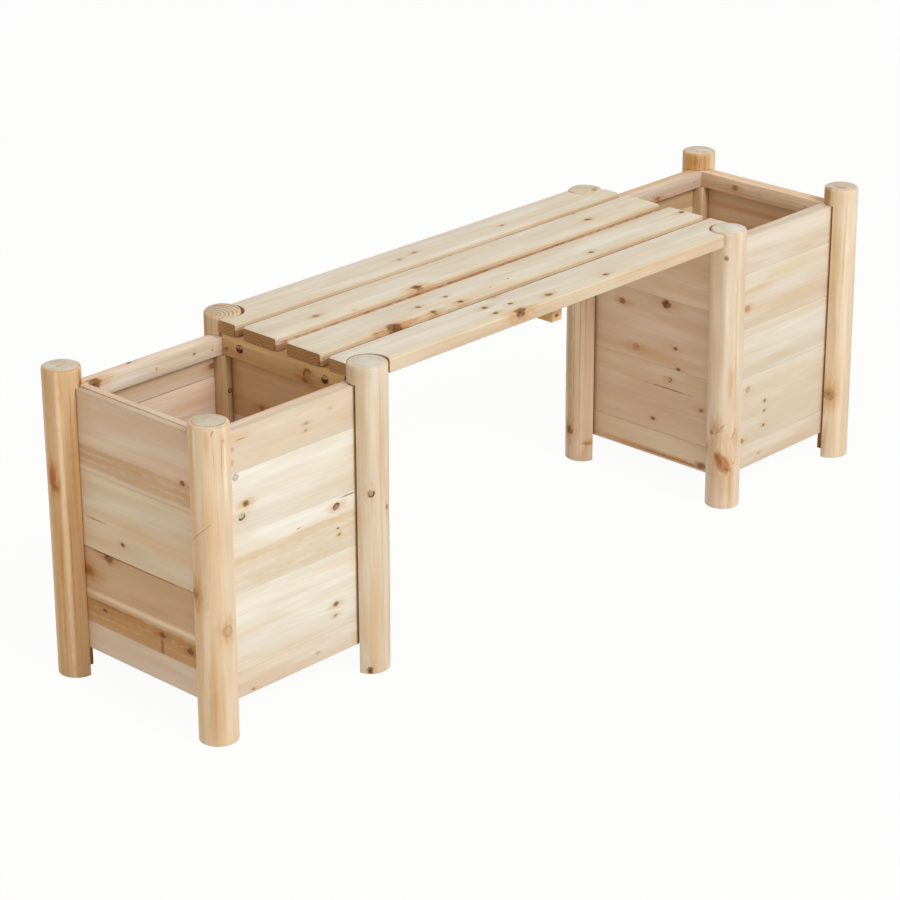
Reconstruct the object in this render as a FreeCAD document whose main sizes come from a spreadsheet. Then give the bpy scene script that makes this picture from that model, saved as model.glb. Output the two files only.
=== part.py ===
import FreeCAD, Part
import math
import os
import Sketcher

# A bench whose slatted seat joins two square planters, in peeled round logs and sawn boards.
# X runs along the bench, -Y is its front and Z is up.
# The origin is on the floor, under the middle of the seat. Lengths are millimetres.

Vector = FreeCAD.Vector
Constraint = Sketcher.Constraint

UP = Vector(0, 0, 1)
DOWN = Vector(0, 0, -1)

# A board ripped lower than this is left out, and the board under it goes up to the rim.
LEAST_BOARD_HEIGHT = 15

driving_sizes = [
    # posts
    ("post_diameter", 54),
    ("post_height", 450),
    ("post_end_ease", 3),
    ("post_notch_ease", 2),
    # where the posts stand, between their centres
    ("planter_length", 286),
    ("planter_width", 286),
    ("seat_gap", 764),
    # walls, with the heights of their boards from the bottom; the top board takes the rest
    ("wall_thickness", 11),
    ("wall_bottom", 43),
    ("side_board_bottom", 42),
    ("side_board_lower", 112),
    ("side_board_upper", 112),
    ("front_board_bottom", 37),
    ("front_board_lower", 113),
    ("front_board_middle", 81),
    ("front_board_upper", 90),
    # battens inside the planters
    ("corner_batten_side", 18),
    ("rim_batten_thickness", 12),
    ("rim_batten_height", 25),
    # floors of the planters
    ("bearer_thickness", 12),
    ("bearer_height", 20),
    ("floor_board_thickness", 11),
    ("floor_gap", 3),
    ("floor_clearance", 1),
    # seat
    ("slat_thickness", 21),
    ("slat_ease", 3),
    ("slat_gap", 13),
    ("middle_gap", 18),
    ("seat_overhang", 15),
    ("seat_lift", 6),
    ("post_clearance", 2.5),
    ("seat_batten_thickness", 12),
    ("middle_batten_width", 21),
    ("middle_batten_height", 26),
    ("middle_batten_inset", 19),
    # bolts that hold the seat's end battens to the planters
    ("bolt_diameter", 6),
    ("bolt_hole_clearance", 0.5),
    ("bolt_head_diameter", 14),
    ("bolt_head_height", 4),
    ("bolt_tail", 3),
    ("bolt_inset", 36),
    ("bolt_drop", 8),
    ("washer_diameter", 15),
    ("washer_thickness", 1.5),
    ("nut_width", 10),
    ("nut_height", 5),
    # wood screws
    ("screw_diameter", 4),
    ("screw_head_diameter", 8),
    ("screw_length", 38),
    ("screw_point", 5),
    ("post_screw_margin", 54),
    # nails
    ("nail_diameter", 2),
    ("nail_head_diameter", 5),
    ("nail_head_height", 0.8),
    ("nail_length", 20),
    ("nail_point", 3),
    ("rim_nail_inset", 30),
]

doc = FreeCAD.newDocument("PlanterBench")
sheet = doc.addObject("Spreadsheet::Sheet", "Sizes")
for row, (alias, value) in enumerate(driving_sizes, start=1):
    sheet.set(f"A{row}", alias)
    sheet.set(f"B{row}", str(value))
    sheet.setAlias(f"B{row}", alias)
doc.recompute()

# Levels above the floor
seat_underside = "(Sizes.post_height - Sizes.slat_thickness)"
rim_level = f"({seat_underside} - Sizes.seat_lift)"
rim_batten_underside = f"({rim_level} - Sizes.rim_batten_height)"
middle_batten_underside = f"({seat_underside} - Sizes.middle_batten_height)"
floor_underside = "(Sizes.wall_bottom + Sizes.bearer_height)"
floor_level = f"({floor_underside} + Sizes.floor_board_thickness)"
low_screw_level = f"({floor_level} + Sizes.post_screw_margin)"
high_screw_level = f"({rim_batten_underside} - Sizes.post_screw_margin)"
bolt_level = f"({rim_level} - Sizes.bolt_drop)"

# Distances from the middle of the bench along X
inner_post_x = "(Sizes.seat_gap / 2)"
outer_post_x = "(Sizes.seat_gap / 2 + Sizes.planter_length)"
planter_x = "(Sizes.seat_gap / 2 + Sizes.planter_length / 2)"
seat_batten_x = f"({inner_post_x} + Sizes.wall_thickness + Sizes.seat_batten_thickness / 2)"
slat_end_x = f"({inner_post_x} + Sizes.wall_thickness + Sizes.seat_batten_thickness)"

# Distances from the middle of the bench along Y
post_y = "(Sizes.planter_width / 2)"
wall_inside_y = f"({post_y} - Sizes.wall_thickness)"
rim_batten_inside_y = f"({wall_inside_y} - Sizes.rim_batten_thickness)"
bearer_y = f"({wall_inside_y} - Sizes.bearer_thickness / 2)"
seat_edge_y = f"({post_y} + Sizes.seat_overhang)"
bolt_y = f"({rim_batten_inside_y} - Sizes.bolt_inset)"

slat_width = f"((2 * {seat_edge_y} - 2 * Sizes.slat_gap - Sizes.middle_gap) / 4)"
inner_slat_y = f"(Sizes.middle_gap / 2 + {slat_width} / 2)"
outer_slat_y = f"({seat_edge_y} - {slat_width} / 2)"
outer_slat_screw_y = f"(({seat_edge_y} - {slat_width} + {rim_batten_inside_y}) / 2)"

# Lengths inside a planter
inside_length = "(Sizes.planter_length - 2 * Sizes.wall_thickness)"
inside_width = "(Sizes.planter_width - 2 * Sizes.wall_thickness)"
width_between_rim_battens = f"({inside_width} - 2 * Sizes.rim_batten_thickness)"
length_between_corner_battens = f"({inside_length} - 2 * Sizes.corner_batten_side)"
floor_length = f"({inside_length} - 2 * Sizes.floor_clearance)"
floor_board_width = f"(({floor_length} - 2 * Sizes.floor_gap) / 3)"
floor_board_spacing = f"({floor_board_width} + Sizes.floor_gap)"

# The two planters are mirror images, and so are the front and the back.
planter_sides = [("left", -1), ("right", 1)]
bench_faces = [("front", -1), ("back", 1)]
both_ways = (-1, 1)

# Degrees that turn the quarter between +X and +Y to the one between these directions
quarter_turns = {(1, 1): 0, (-1, 1): 90, (-1, -1): 180, (1, -1): 270}

finished_parts = []


def size(alias):
    return float(sheet.get(alias))


def finish(piece, name):
    piece.Label = name
    finished_parts.append(piece)
    return piece


def place(piece, x, y, z):
    piece.setExpression("Placement.Base.x", x)
    piece.setExpression("Placement.Base.y", y)
    piece.setExpression("Placement.Base.z", z)


def block(name, length, width, height, x, y, z):
    # a sawn piece centred on x and y, with its underside at z
    piece = doc.addObject("Part::Box", name)
    piece.setExpression("Length", length)
    piece.setExpression("Width", width)
    piece.setExpression("Height", height)
    place(piece, f"{x} - {length} / 2", f"{y} - {width} / 2", z)
    return piece


def group(name, pieces):
    together = doc.addObject("Part::Compound", name)
    together.Links = pieces
    return together


def copy_of(master, name, x, y, z, rotation):
    copy = doc.addObject("App::Link", name)
    copy.LinkedObject = master
    copy.Placement = FreeCAD.Placement(Vector(), rotation)
    place(copy, x, y, z)
    return copy


def cut_from(name, wood, tools):
    # the wood piece with a hole or notch where each tool passes through it
    piece = doc.addObject("Part::Cut", name)
    piece.Base = wood
    piece.Tool = group(f"{name}_tools", tools)
    return finish(piece, name)


def sketch_in(body, name, plane_role):
    planes = [feature for feature in body.Origin.OriginFeatures if feature.Role == plane_role]
    sketch = body.newObject("Sketcher::SketchObject", name)
    sketch.AttachmentSupport = [(planes[0], "")]
    sketch.MapMode = "FlatFace"
    return sketch


def bind(sketch, constraint, expression):
    number = sketch.addConstraint(constraint)
    sketch.setExpression(f"Constraints[{number}]", expression)


def edge_names(feature, wanted):
    edges = enumerate(feature.Shape.Edges, start=1)
    return [f"Edge{number}" for number, edge in edges if wanted(edge)]


def add_outline(sketch, points):
    # a closed outline of straight lines, held level or upright where it starts so
    count = len(points)
    for number, point in enumerate(points):
        following = points[(number + 1) % count]
        sketch.addGeometry(Part.LineSegment(point, following))
    for number, point in enumerate(points):
        following = points[(number + 1) % count]
        sketch.addConstraint(Constraint("Coincident", number, 2, (number + 1) % count, 1))
        if point.y == following.y:
            sketch.addConstraint(Constraint("Horizontal", number))
        elif point.x == following.x:
            sketch.addConstraint(Constraint("Vertical", number))


def pad(body, sketch, length):
    feature = body.newObject("PartDesign::Pad", "Pad")
    feature.Profile = sketch
    feature.setExpression("Length", length)
    doc.recompute()
    return feature


def turn(body, sketch):
    feature = body.newObject("PartDesign::Revolution", "Turned")
    feature.Profile = sketch
    feature.ReferenceAxis = (sketch, ["V_Axis"])
    feature.Angle = 360
    doc.recompute()
    return feature


def must_cut(body, volume_before):
    # a pocket that points away from the wood would remove nothing
    if body.Shape.Volume >= volume_before:
        raise RuntimeError(f"a pocket of {body.Name} cuts nothing")


def post_master():
    # a peeled log with a square notch from the foot up to the rim, where two walls meet on its axis
    body = doc.addObject("PartDesign::Body", "post_master")
    section = sketch_in(body, "log_section", "XY_Plane")
    radius = size("post_diameter") / 2
    section.addGeometry(Part.Circle(Vector(), UP, radius))
    section.addConstraint(Constraint("Coincident", 0, 3, -1, 1))
    bind(section, Constraint("Diameter", 0, 2 * radius), "Sizes.post_diameter")
    log = pad(body, section, "Sizes.post_height")

    ends = body.newObject("PartDesign::Chamfer", "eased_ends")
    ends.Base = (log, edge_names(log, lambda edge: edge.Closed))
    ends.setExpression("Size", "Sizes.post_end_ease")
    doc.recompute()
    volume = body.Shape.Volume

    # the notch's outline flares by 45 degrees at the log's surface, which eases both arrises
    quarter = sketch_in(body, "notch_section", "XY_Plane")
    reach = size("post_diameter")
    square = radius - size("post_notch_ease")
    flare = reach - square
    add_outline(quarter, [
        Vector(0, 0),
        Vector(square, 0),
        Vector(reach, -flare),
        Vector(reach, reach),
        Vector(-flare, reach),
        Vector(0, square),
    ])
    square_size = "Sizes.post_diameter / 2 - Sizes.post_notch_ease"
    flare_size = "Sizes.post_diameter / 2 + Sizes.post_notch_ease"
    quarter.addConstraint(Constraint("Coincident", 0, 1, -1, 1))
    bind(quarter, Constraint("DistanceX", 0, 1, 0, 2, square), square_size)
    bind(quarter, Constraint("DistanceY", 5, 2, 5, 1, square), square_size)
    bind(quarter, Constraint("DistanceX", 0, 1, 1, 2, reach), "Sizes.post_diameter")
    bind(quarter, Constraint("DistanceY", 0, 1, 2, 2, reach), "Sizes.post_diameter")
    bind(quarter, Constraint("DistanceY", 1, 2, 1, 1, flare), flare_size)
    bind(quarter, Constraint("DistanceX", 4, 1, 4, 2, flare), flare_size)
    notch = body.newObject("PartDesign::Pocket", "notch")
    notch.Profile = quarter
    notch.Reversed = True
    notch.setExpression("Length", rim_level)
    doc.recompute()
    must_cut(body, volume)
    return body


def slat_master():
    # a seat slat about its own middle, its long edges eased
    body = doc.addObject("PartDesign::Body", "slat_master")
    outline = sketch_in(body, "slat_outline", "XY_Plane")
    # a first outline near the real one, which the constraints then set
    half_length = size("seat_gap") / 2
    half_width = size("planter_width") / 8
    add_outline(outline, [
        Vector(-half_length, -half_width),
        Vector(half_length, -half_width),
        Vector(half_length, half_width),
        Vector(-half_length, half_width),
    ])
    outline.addConstraint(Constraint("Symmetric", 0, 1, 1, 2, -1, 1))
    bind(outline, Constraint("DistanceX", 0, 1, 0, 2, 2 * half_length), f"2 * {slat_end_x}")
    bind(outline, Constraint("DistanceY", 1, 1, 1, 2, 2 * half_width), slat_width)
    plank = pad(body, outline, "Sizes.slat_thickness")

    def runs_along(edge):
        return edge.BoundBox.XLength > edge.BoundBox.YLength + edge.BoundBox.ZLength

    eased = body.newObject("PartDesign::Fillet", "slat_eased")
    eased.Base = (plank, edge_names(plank, runs_along))
    eased.setExpression("Radius", "Sizes.slat_ease")
    doc.recompute()
    return body


def wood_screw_master():
    # a countersunk screw, its head flush at the origin and its point along +Z
    body = doc.addObject("PartDesign::Body", "wood_screw_master")
    profile = sketch_in(body, "screw_profile", "XZ_Plane")
    head = size("screw_head_diameter") / 2
    shank = size("screw_diameter") / 2
    length = size("screw_length")
    point = size("screw_point")
    add_outline(profile, [
        Vector(0, 0),
        Vector(head, 0),
        Vector(shank, head - shank),
        Vector(shank, length - point),
        Vector(0, length),
    ])
    profile.addConstraint(Constraint("Coincident", 0, 1, -1, 1))
    bind(profile, Constraint("DistanceX", 0, 1, 0, 2, head), "Sizes.screw_head_diameter / 2")
    bind(profile, Constraint("DistanceX", 4, 2, 1, 2, shank), "Sizes.screw_diameter / 2")
    bind(profile, Constraint("DistanceY", 0, 2, 1, 2, head - shank),
         "(Sizes.screw_head_diameter - Sizes.screw_diameter) / 2")
    bind(profile, Constraint("DistanceY", 4, 2, 4, 1, length), "Sizes.screw_length")
    bind(profile, Constraint("DistanceY", 3, 1, 3, 2, point), "Sizes.screw_point")
    turn(body, profile)
    return body


def nail_master():
    # a flat-headed nail, its head resting on the wood at the origin and its point along +Z
    body = doc.addObject("PartDesign::Body", "nail_master")
    profile = sketch_in(body, "nail_profile", "XZ_Plane")
    head = size("nail_head_diameter") / 2
    thickness = size("nail_head_height")
    shank = size("nail_diameter") / 2
    length = size("nail_length")
    point = size("nail_point")
    add_outline(profile, [
        Vector(0, -thickness),
        Vector(head, -thickness),
        Vector(head, 0),
        Vector(shank, 0),
        Vector(shank, length - point),
        Vector(0, length),
    ])
    profile.addConstraint(Constraint("PointOnObject", 0, 1, -2))
    profile.addConstraint(Constraint("PointOnObject", 2, 1, -1))
    bind(profile, Constraint("DistanceX", 0, 1, 0, 2, head), "Sizes.nail_head_diameter / 2")
    bind(profile, Constraint("DistanceY", 1, 1, 1, 2, thickness), "Sizes.nail_head_height")
    bind(profile, Constraint("DistanceX", -1, 1, 3, 1, shank), "Sizes.nail_diameter / 2")
    bind(profile, Constraint("DistanceY", -1, 1, 4, 2, length), "Sizes.nail_length")
    bind(profile, Constraint("DistanceY", 4, 1, 4, 2, point), "Sizes.nail_point")
    turn(body, profile)
    return body


def bolt_master():
    # a round-headed bolt, its head resting on the wood at the origin and its tail along +Z
    body = doc.addObject("PartDesign::Body", "bolt_master")
    profile = sketch_in(body, "bolt_profile", "XZ_Plane")
    head = size("bolt_head_diameter") / 2
    crown = size("bolt_head_height")
    shank = size("bolt_diameter") / 2
    length = size("seat_batten_thickness") + size("wall_thickness")
    profile.addGeometry(Part.LineSegment(Vector(0, -crown), Vector(0, length)))
    profile.addGeometry(Part.LineSegment(Vector(0, length), Vector(shank, length)))
    profile.addGeometry(Part.LineSegment(Vector(shank, length), Vector(shank, 0)))
    profile.addGeometry(Part.LineSegment(Vector(shank, 0), Vector(head, 0)))
    # the crown is part of a circle about a point on the bolt's axis
    crown_radius = (head ** 2 + crown ** 2) / (2 * crown)
    shoulder_angle = math.asin(head / crown_radius)
    on_crown = [
        Vector(head, 0),
        Vector(
            crown_radius * math.sin(shoulder_angle / 2),
            crown_radius - crown - crown_radius * math.cos(shoulder_angle / 2),
        ),
        Vector(0, -crown),
    ]
    profile.addGeometry(Part.Arc(*on_crown))
    for first, second in ((0, 1), (1, 2), (2, 3)):
        profile.addConstraint(Constraint("Coincident", first, 2, second, 1))
    starts_at_shoulder = profile.getPoint(4, 1).distanceToPoint(on_crown[0]) < 0.001
    shoulder, apex = (1, 2) if starts_at_shoulder else (2, 1)
    profile.addConstraint(Constraint("Coincident", 3, 2, 4, shoulder))
    profile.addConstraint(Constraint("Coincident", 4, apex, 0, 1))
    profile.addConstraint(Constraint("PointOnObject", 0, 1, -2))
    profile.addConstraint(Constraint("PointOnObject", 3, 1, -1))
    profile.addConstraint(Constraint("PointOnObject", 4, 3, -2))
    profile.addConstraint(Constraint("Vertical", 0))
    profile.addConstraint(Constraint("Horizontal", 1))
    profile.addConstraint(Constraint("Vertical", 2))
    profile.addConstraint(Constraint("Horizontal", 3))
    bind(profile, Constraint("DistanceY", 0, 1, -1, 1, crown), "Sizes.bolt_head_height")
    bind(profile, Constraint("DistanceX", 1, 1, 1, 2, shank), "Sizes.bolt_diameter / 2")
    bind(profile, Constraint("DistanceX", -1, 1, 3, 2, head), "Sizes.bolt_head_diameter / 2")
    bind(profile, Constraint("DistanceY", -1, 1, 0, 2, length),
         "Sizes.seat_batten_thickness + Sizes.wall_thickness + Sizes.washer_thickness"
         " + Sizes.nut_height + Sizes.bolt_tail")
    turn(body, profile)
    return body


def fastener_group(name, master, places):
    # copies of one fastener, each with its head at x, y, z and its point towards a direction
    copies = []
    for number, (x, y, z, towards) in enumerate(places, start=1):
        rotation = FreeCAD.Rotation(UP, towards)
        copies.append(copy_of(master, f"{name}_{number}", x, y, z, rotation))
    return finish(group(name, copies), name)


def post_screw_places():
    # from inside the planter, through a corner batten and a wall into the post behind them
    batten_inside = "(Sizes.wall_thickness + Sizes.corner_batten_side)"
    screw_inset = "(Sizes.wall_thickness + Sizes.corner_batten_side / 3)"
    level_between = f"(({low_screw_level} + {high_screw_level}) / 2)"
    places = []
    for side in both_ways:
        for post_x, inward in ((inner_post_x, 1), (outer_post_x, -1)):
            for face in both_ways:
                screw_x = f"{side} * ({post_x} + {inward} * {screw_inset})"
                head_y = f"{face} * ({post_y} - {batten_inside})"
                for level in (low_screw_level, high_screw_level):
                    places.append((screw_x, head_y, level, Vector(0, face, 0)))
                head_x = f"{side} * ({post_x} + {inward} * {batten_inside})"
                screw_y = f"{face} * ({post_y} - {screw_inset})"
                places.append((head_x, screw_y, level_between, Vector(-side * inward, 0, 0)))
    return places


def slat_screw_places():
    # up through the three cross battens, one into each slat
    places = []
    for face in both_ways:
        for side in both_ways:
            for slat_y in (inner_slat_y, outer_slat_screw_y):
                place_x = f"{side} * {seat_batten_x}"
                places.append((place_x, f"{face} * {slat_y}", rim_batten_underside, UP))
        for slat_y in (inner_slat_y, outer_slat_y):
            places.append(("0", f"{face} * {slat_y}", middle_batten_underside, UP))
    return places


def joining_bolt_places(distance_x):
    # through a seat end batten and the wall beside it, pointing under the seat
    places = []
    for side in both_ways:
        for face in both_ways:
            places.append((f"{side} * {distance_x}", f"{face} * {bolt_y}", bolt_level,
                           Vector(-side, 0, 0)))
    return places


def rim_nail_places():
    level = f"({rim_batten_underside} + Sizes.rim_batten_height / 2)"
    along_front = f"({inside_length} / 2 - Sizes.rim_nail_inset)"
    along_side = f"({width_between_rim_battens} / 2 - Sizes.rim_nail_inset)"
    batten_inside_x = f"({outer_post_x} - Sizes.wall_thickness - Sizes.rim_batten_thickness)"
    places = []
    for side in both_ways:
        for step in (-1, 0, 1):
            for face in both_ways:
                places.append((f"{side} * {planter_x} + {step} * {along_front}",
                               f"{face} * {rim_batten_inside_y}", level, Vector(0, face, 0)))
            places.append((f"{side} * {batten_inside_x}", f"{step} * {along_side}", level,
                           Vector(side, 0, 0)))
    return places


def floor_nail_places():
    # two nails through each floor board into each bearer
    places = []
    for side in both_ways:
        for face in both_ways:
            for board in (-1, 0, 1):
                for half in both_ways:
                    nail_x = (f"{side} * {planter_x} + {board} * {floor_board_spacing}"
                              f" + {half} * {floor_board_width} / 6")
                    places.append((nail_x, f"{face} * {bearer_y}", floor_level, DOWN))
    return places


def bearer_nail_places():
    # through each bearer into its wall, under the gaps of the floor
    level = "(Sizes.wall_bottom + Sizes.bearer_height / 2)"
    bearer_inside_y = f"({wall_inside_y} - Sizes.bearer_thickness)"
    places = []
    for side in both_ways:
        for face in both_ways:
            for half in both_ways:
                places.append((f"{side} * {planter_x} + {half} * {floor_board_spacing} / 2",
                               f"{face} * {bearer_inside_y}", level, Vector(0, face, 0)))
    return places


def make_bolts():
    # bolts, and the washers and nuts on their tails; returns the bolts and their clearance holes
    bolts = fastener_group("joining_bolts", bolt_master(), joining_bolt_places(slat_end_x))

    hole = doc.addObject("Part::Cylinder", "bolt_hole")
    hole.setExpression("Radius", "(Sizes.bolt_diameter + Sizes.bolt_hole_clearance) / 2")
    hole.setExpression("Height", "Sizes.seat_batten_thickness + Sizes.wall_thickness"
                                 " + Sizes.washer_thickness")
    holes = []
    for number, (x, y, z, towards) in enumerate(joining_bolt_places(slat_end_x), start=1):
        rotation = FreeCAD.Rotation(UP, towards)
        holes.append(copy_of(hole, f"bolt_hole_{number}", x, y, z, rotation))
    bolt_holes = group("bolt_holes", holes)

    disc = doc.addObject("Part::Cylinder", "washer_disc")
    disc.setExpression("Radius", "Sizes.washer_diameter / 2")
    disc.setExpression("Height", "Sizes.washer_thickness")
    prism = doc.addObject("Part::Prism", "nut_prism")
    prism.Polygon = 6
    prism.setExpression("Circumradius", "Sizes.nut_width / sqrt(3)")
    prism.setExpression("Height", "Sizes.nut_height")

    discs = []
    for number, (x, y, z, towards) in enumerate(joining_bolt_places(inner_post_x), start=1):
        rotation = FreeCAD.Rotation(UP, towards)
        discs.append(copy_of(disc, f"washer_disc_{number}", x, y, z, rotation))
    cut_from("joining_washers", group("washer_discs", discs), [bolt_holes])

    washer_face_x = f"({inner_post_x} - Sizes.washer_thickness)"
    prisms = []
    for number, (x, y, z, towards) in enumerate(joining_bolt_places(washer_face_x), start=1):
        rotation = FreeCAD.Rotation(UP, towards)
        prisms.append(copy_of(prism, f"nut_prism_{number}", x, y, z, rotation))
    cut_from("joining_nuts", group("nut_prisms", prisms), [bolts])
    return bolt_holes


def make_posts(post_screws):
    master = post_master()
    for side_name, side in planter_sides:
        for row_name, post_x, inward in (("inner", inner_post_x, 1), ("outer", outer_post_x, -1)):
            for face_name, face in bench_faces:
                name = f"{side_name}_{row_name}_{face_name}_post"
                rotation = FreeCAD.Rotation(UP, quarter_turns[(side * inward, -face)])
                log = copy_of(master, f"{name}_log", f"{side} * {post_x}", f"{face} * {post_y}",
                              "0", rotation)
                cut_from(name, log, [post_screws])


def fitting_boards(aliases):
    # the boards, from the bottom up, that leave room for one more below the rim
    rim = size("post_height") - size("slat_thickness") - size("seat_lift")
    height_left = rim - size("wall_bottom")
    fitting = []
    for alias in aliases:
        height_left -= size(alias)
        if height_left < LEAST_BOARD_HEIGHT:
            break
        fitting.append(alias)
    return fitting


def make_wall(name, aliases, length, width, top_level, x, y, tools):
    # boards edge to edge, from the wall's bottom up to its top level
    boards = []
    level = "Sizes.wall_bottom"
    for alias in fitting_boards(aliases):
        boards.append(block(f"{name}_{alias}", length, width, f"Sizes.{alias}", x, y, level))
        level = f"({level} + Sizes.{alias})"
    boards.append(block(f"{name}_board_top", length, width, f"({top_level} - {level})",
                        x, y, level))
    cut_from(name, group(f"{name}_boards", boards), tools)


def make_walls(post_screws, rim_nails, bearer_nails, bolt_holes, post_spaces):
    # the seat's slats rest on the walls under their ends, so these two walls stand up to the slats
    front_boards = ["front_board_bottom", "front_board_lower", "front_board_middle",
                    "front_board_upper"]
    side_boards = ["side_board_bottom", "side_board_lower", "side_board_upper"]
    for side_name, side in planter_sides:
        for face_name, face in bench_faces:
            make_wall(f"{side_name}_{face_name}_wall", front_boards,
                      "Sizes.planter_length", "Sizes.wall_thickness", rim_level,
                      f"{side} * {planter_x}", f"{face} * ({post_y} - Sizes.wall_thickness / 2)",
                      [post_screws, rim_nails, bearer_nails])
        make_wall(f"{side_name}_outer_wall", side_boards,
                  "Sizes.wall_thickness", inside_width, rim_level,
                  f"{side} * ({outer_post_x} - Sizes.wall_thickness / 2)", "0",
                  [post_screws, rim_nails])
        make_wall(f"{side_name}_seat_side_wall", side_boards,
                  "Sizes.wall_thickness", inside_width, seat_underside,
                  f"{side} * ({inner_post_x} + Sizes.wall_thickness / 2)", "0",
                  [post_screws, bolt_holes, post_spaces[(side, -1)], post_spaces[(side, 1)]])


def make_rim_battens(rim_nails):
    for side_name, side in planter_sides:
        for face_name, face in bench_faces:
            name = f"{side_name}_{face_name}_rim_batten"
            batten_y = f"({wall_inside_y} - Sizes.rim_batten_thickness / 2)"
            wood = block(f"{name}_wood", inside_length, "Sizes.rim_batten_thickness",
                         "Sizes.rim_batten_height", f"{side} * {planter_x}",
                         f"{face} * {batten_y}", rim_batten_underside)
            cut_from(name, wood, [rim_nails])
        name = f"{side_name}_outer_rim_batten"
        batten_x = f"({outer_post_x} - Sizes.wall_thickness - Sizes.rim_batten_thickness / 2)"
        wood = block(f"{name}_wood", "Sizes.rim_batten_thickness", width_between_rim_battens,
                     "Sizes.rim_batten_height", f"{side} * {batten_x}", "0",
                     rim_batten_underside)
        cut_from(name, wood, [rim_nails])


def make_corner_battens(post_screws):
    half_batten = "(Sizes.wall_thickness + Sizes.corner_batten_side / 2)"
    for side_name, side in planter_sides:
        for row_name, post_x, inward in (("inner", inner_post_x, 1), ("outer", outer_post_x, -1)):
            for face_name, face in bench_faces:
                name = f"{side_name}_{row_name}_{face_name}_corner_batten"
                wood = block(f"{name}_wood", "Sizes.corner_batten_side",
                             "Sizes.corner_batten_side",
                             f"({rim_batten_underside} - Sizes.wall_bottom)",
                             f"{side} * ({post_x} + {inward} * {half_batten})",
                             f"{face} * ({post_y} - {half_batten})", "Sizes.wall_bottom")
                cut_from(name, wood, [post_screws])


def make_floors(floor_nails, bearer_nails):
    notch_side = "(Sizes.corner_batten_side + Sizes.floor_clearance)"
    half_notch = f"(Sizes.wall_thickness + {notch_side} / 2)"
    board_length = f"({inside_width} - 2 * Sizes.floor_clearance)"
    for side_name, side in planter_sides:
        for face_name, face in bench_faces:
            name = f"{side_name}_{face_name}_floor_bearer"
            wood = block(f"{name}_wood", length_between_corner_battens, "Sizes.bearer_thickness",
                         "Sizes.bearer_height", f"{side} * {planter_x}", f"{face} * {bearer_y}",
                         "Sizes.wall_bottom")
            cut_from(name, wood, [floor_nails, bearer_nails])

        name = f"{side_name}_floor"
        boards = []
        for number, step in enumerate((-1, 0, 1), start=1):
            boards.append(block(f"{name}_board_{number}", floor_board_width, board_length,
                                "Sizes.floor_board_thickness",
                                f"({side} * {planter_x} + {step} * {floor_board_spacing})", "0",
                                floor_underside))
        notches = []
        for post_x, inward in ((inner_post_x, 1), (outer_post_x, -1)):
            for face_name, face in bench_faces:
                notches.append(block(f"{name}_notch_{inward}_{face_name}".replace("-", "m"),
                                     notch_side, notch_side, "Sizes.floor_board_thickness",
                                     f"{side} * ({post_x} + {inward} * {half_notch})",
                                     f"{face} * ({post_y} - {half_notch})", floor_underside))
        cut_from(name, group(f"{name}_boards", boards), notches + [floor_nails])


def make_post_spaces():
    # the room left round the head of each inner post above the rim, open at the seat's corner
    room = doc.addObject("Part::Cylinder", "post_room")
    room.setExpression("Radius", "Sizes.post_diameter / 2 + Sizes.post_clearance")
    room.setExpression("Height", f"Sizes.post_height - {rim_level}")
    corner = doc.addObject("Part::Box", "seat_corner")
    beyond_post = f"({slat_end_x} - {inner_post_x} + Sizes.seat_overhang)"
    corner.setExpression("Length", beyond_post)
    corner.setExpression("Width", beyond_post)
    corner.setExpression("Height", f"Sizes.post_height - {rim_level}")
    space = doc.addObject("Part::Fuse", "post_space")
    space.Base = room
    space.Tool = corner

    spaces = {}
    for side_name, side in planter_sides:
        for face_name, face in bench_faces:
            rotation = FreeCAD.Rotation(UP, quarter_turns[(side, face)])
            spaces[(side, face)] = copy_of(space, f"{side_name}_{face_name}_post_space",
                                           f"{side} * {inner_post_x}", f"{face} * {post_y}",
                                           rim_level, rotation)
    return spaces


def make_seat(slat_screws, bolt_holes, post_spaces):
    slat = slat_master()
    for face_name, face in bench_faces:
        end_spaces = [post_spaces[(side, face)] for side in both_ways]
        for row_name, slat_y, tools in (("outer", outer_slat_y, [slat_screws] + end_spaces),
                                        ("inner", inner_slat_y, [slat_screws])):
            name = f"{face_name}_{row_name}_slat"
            plank = copy_of(slat, f"{name}_plank", "0", f"{face} * {slat_y}", seat_underside,
                            FreeCAD.Rotation())
            cut_from(name, plank, tools)

    for side_name, side in planter_sides:
        name = f"{side_name}_seat_batten"
        wood = block(f"{name}_wood", "Sizes.seat_batten_thickness", width_between_rim_battens,
                     "(Sizes.rim_batten_height + Sizes.seat_lift)", f"{side} * {seat_batten_x}",
                     "0", rim_batten_underside)
        cut_from(name, wood,
                 [slat_screws, bolt_holes, post_spaces[(side, -1)], post_spaces[(side, 1)]])
    wood = block("middle_seat_batten_wood", "Sizes.middle_batten_width",
                 f"(2 * ({seat_edge_y} - Sizes.middle_batten_inset))",
                 "Sizes.middle_batten_height", "0", "0", middle_batten_underside)
    cut_from("middle_seat_batten", wood, [slat_screws])


def check_objects():
    for piece in doc.Objects:
        if "Invalid" in piece.State or "Error" in piece.State:
            raise RuntimeError(f"{piece.Label} failed: {piece.State}")
    for piece in finished_parts:
        if piece.Shape.isNull() or not piece.Shape.isValid() or not piece.Shape.Solids:
            raise RuntimeError(f"{piece.Label} has no sound shape")


def write_parts():
    os.makedirs("parts", exist_ok=True)
    for piece in finished_parts:
        piece.Shape.exportStep(f"parts/{piece.Label}.step")
        print(piece.Label, len(piece.Shape.Solids), "solids")


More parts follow.
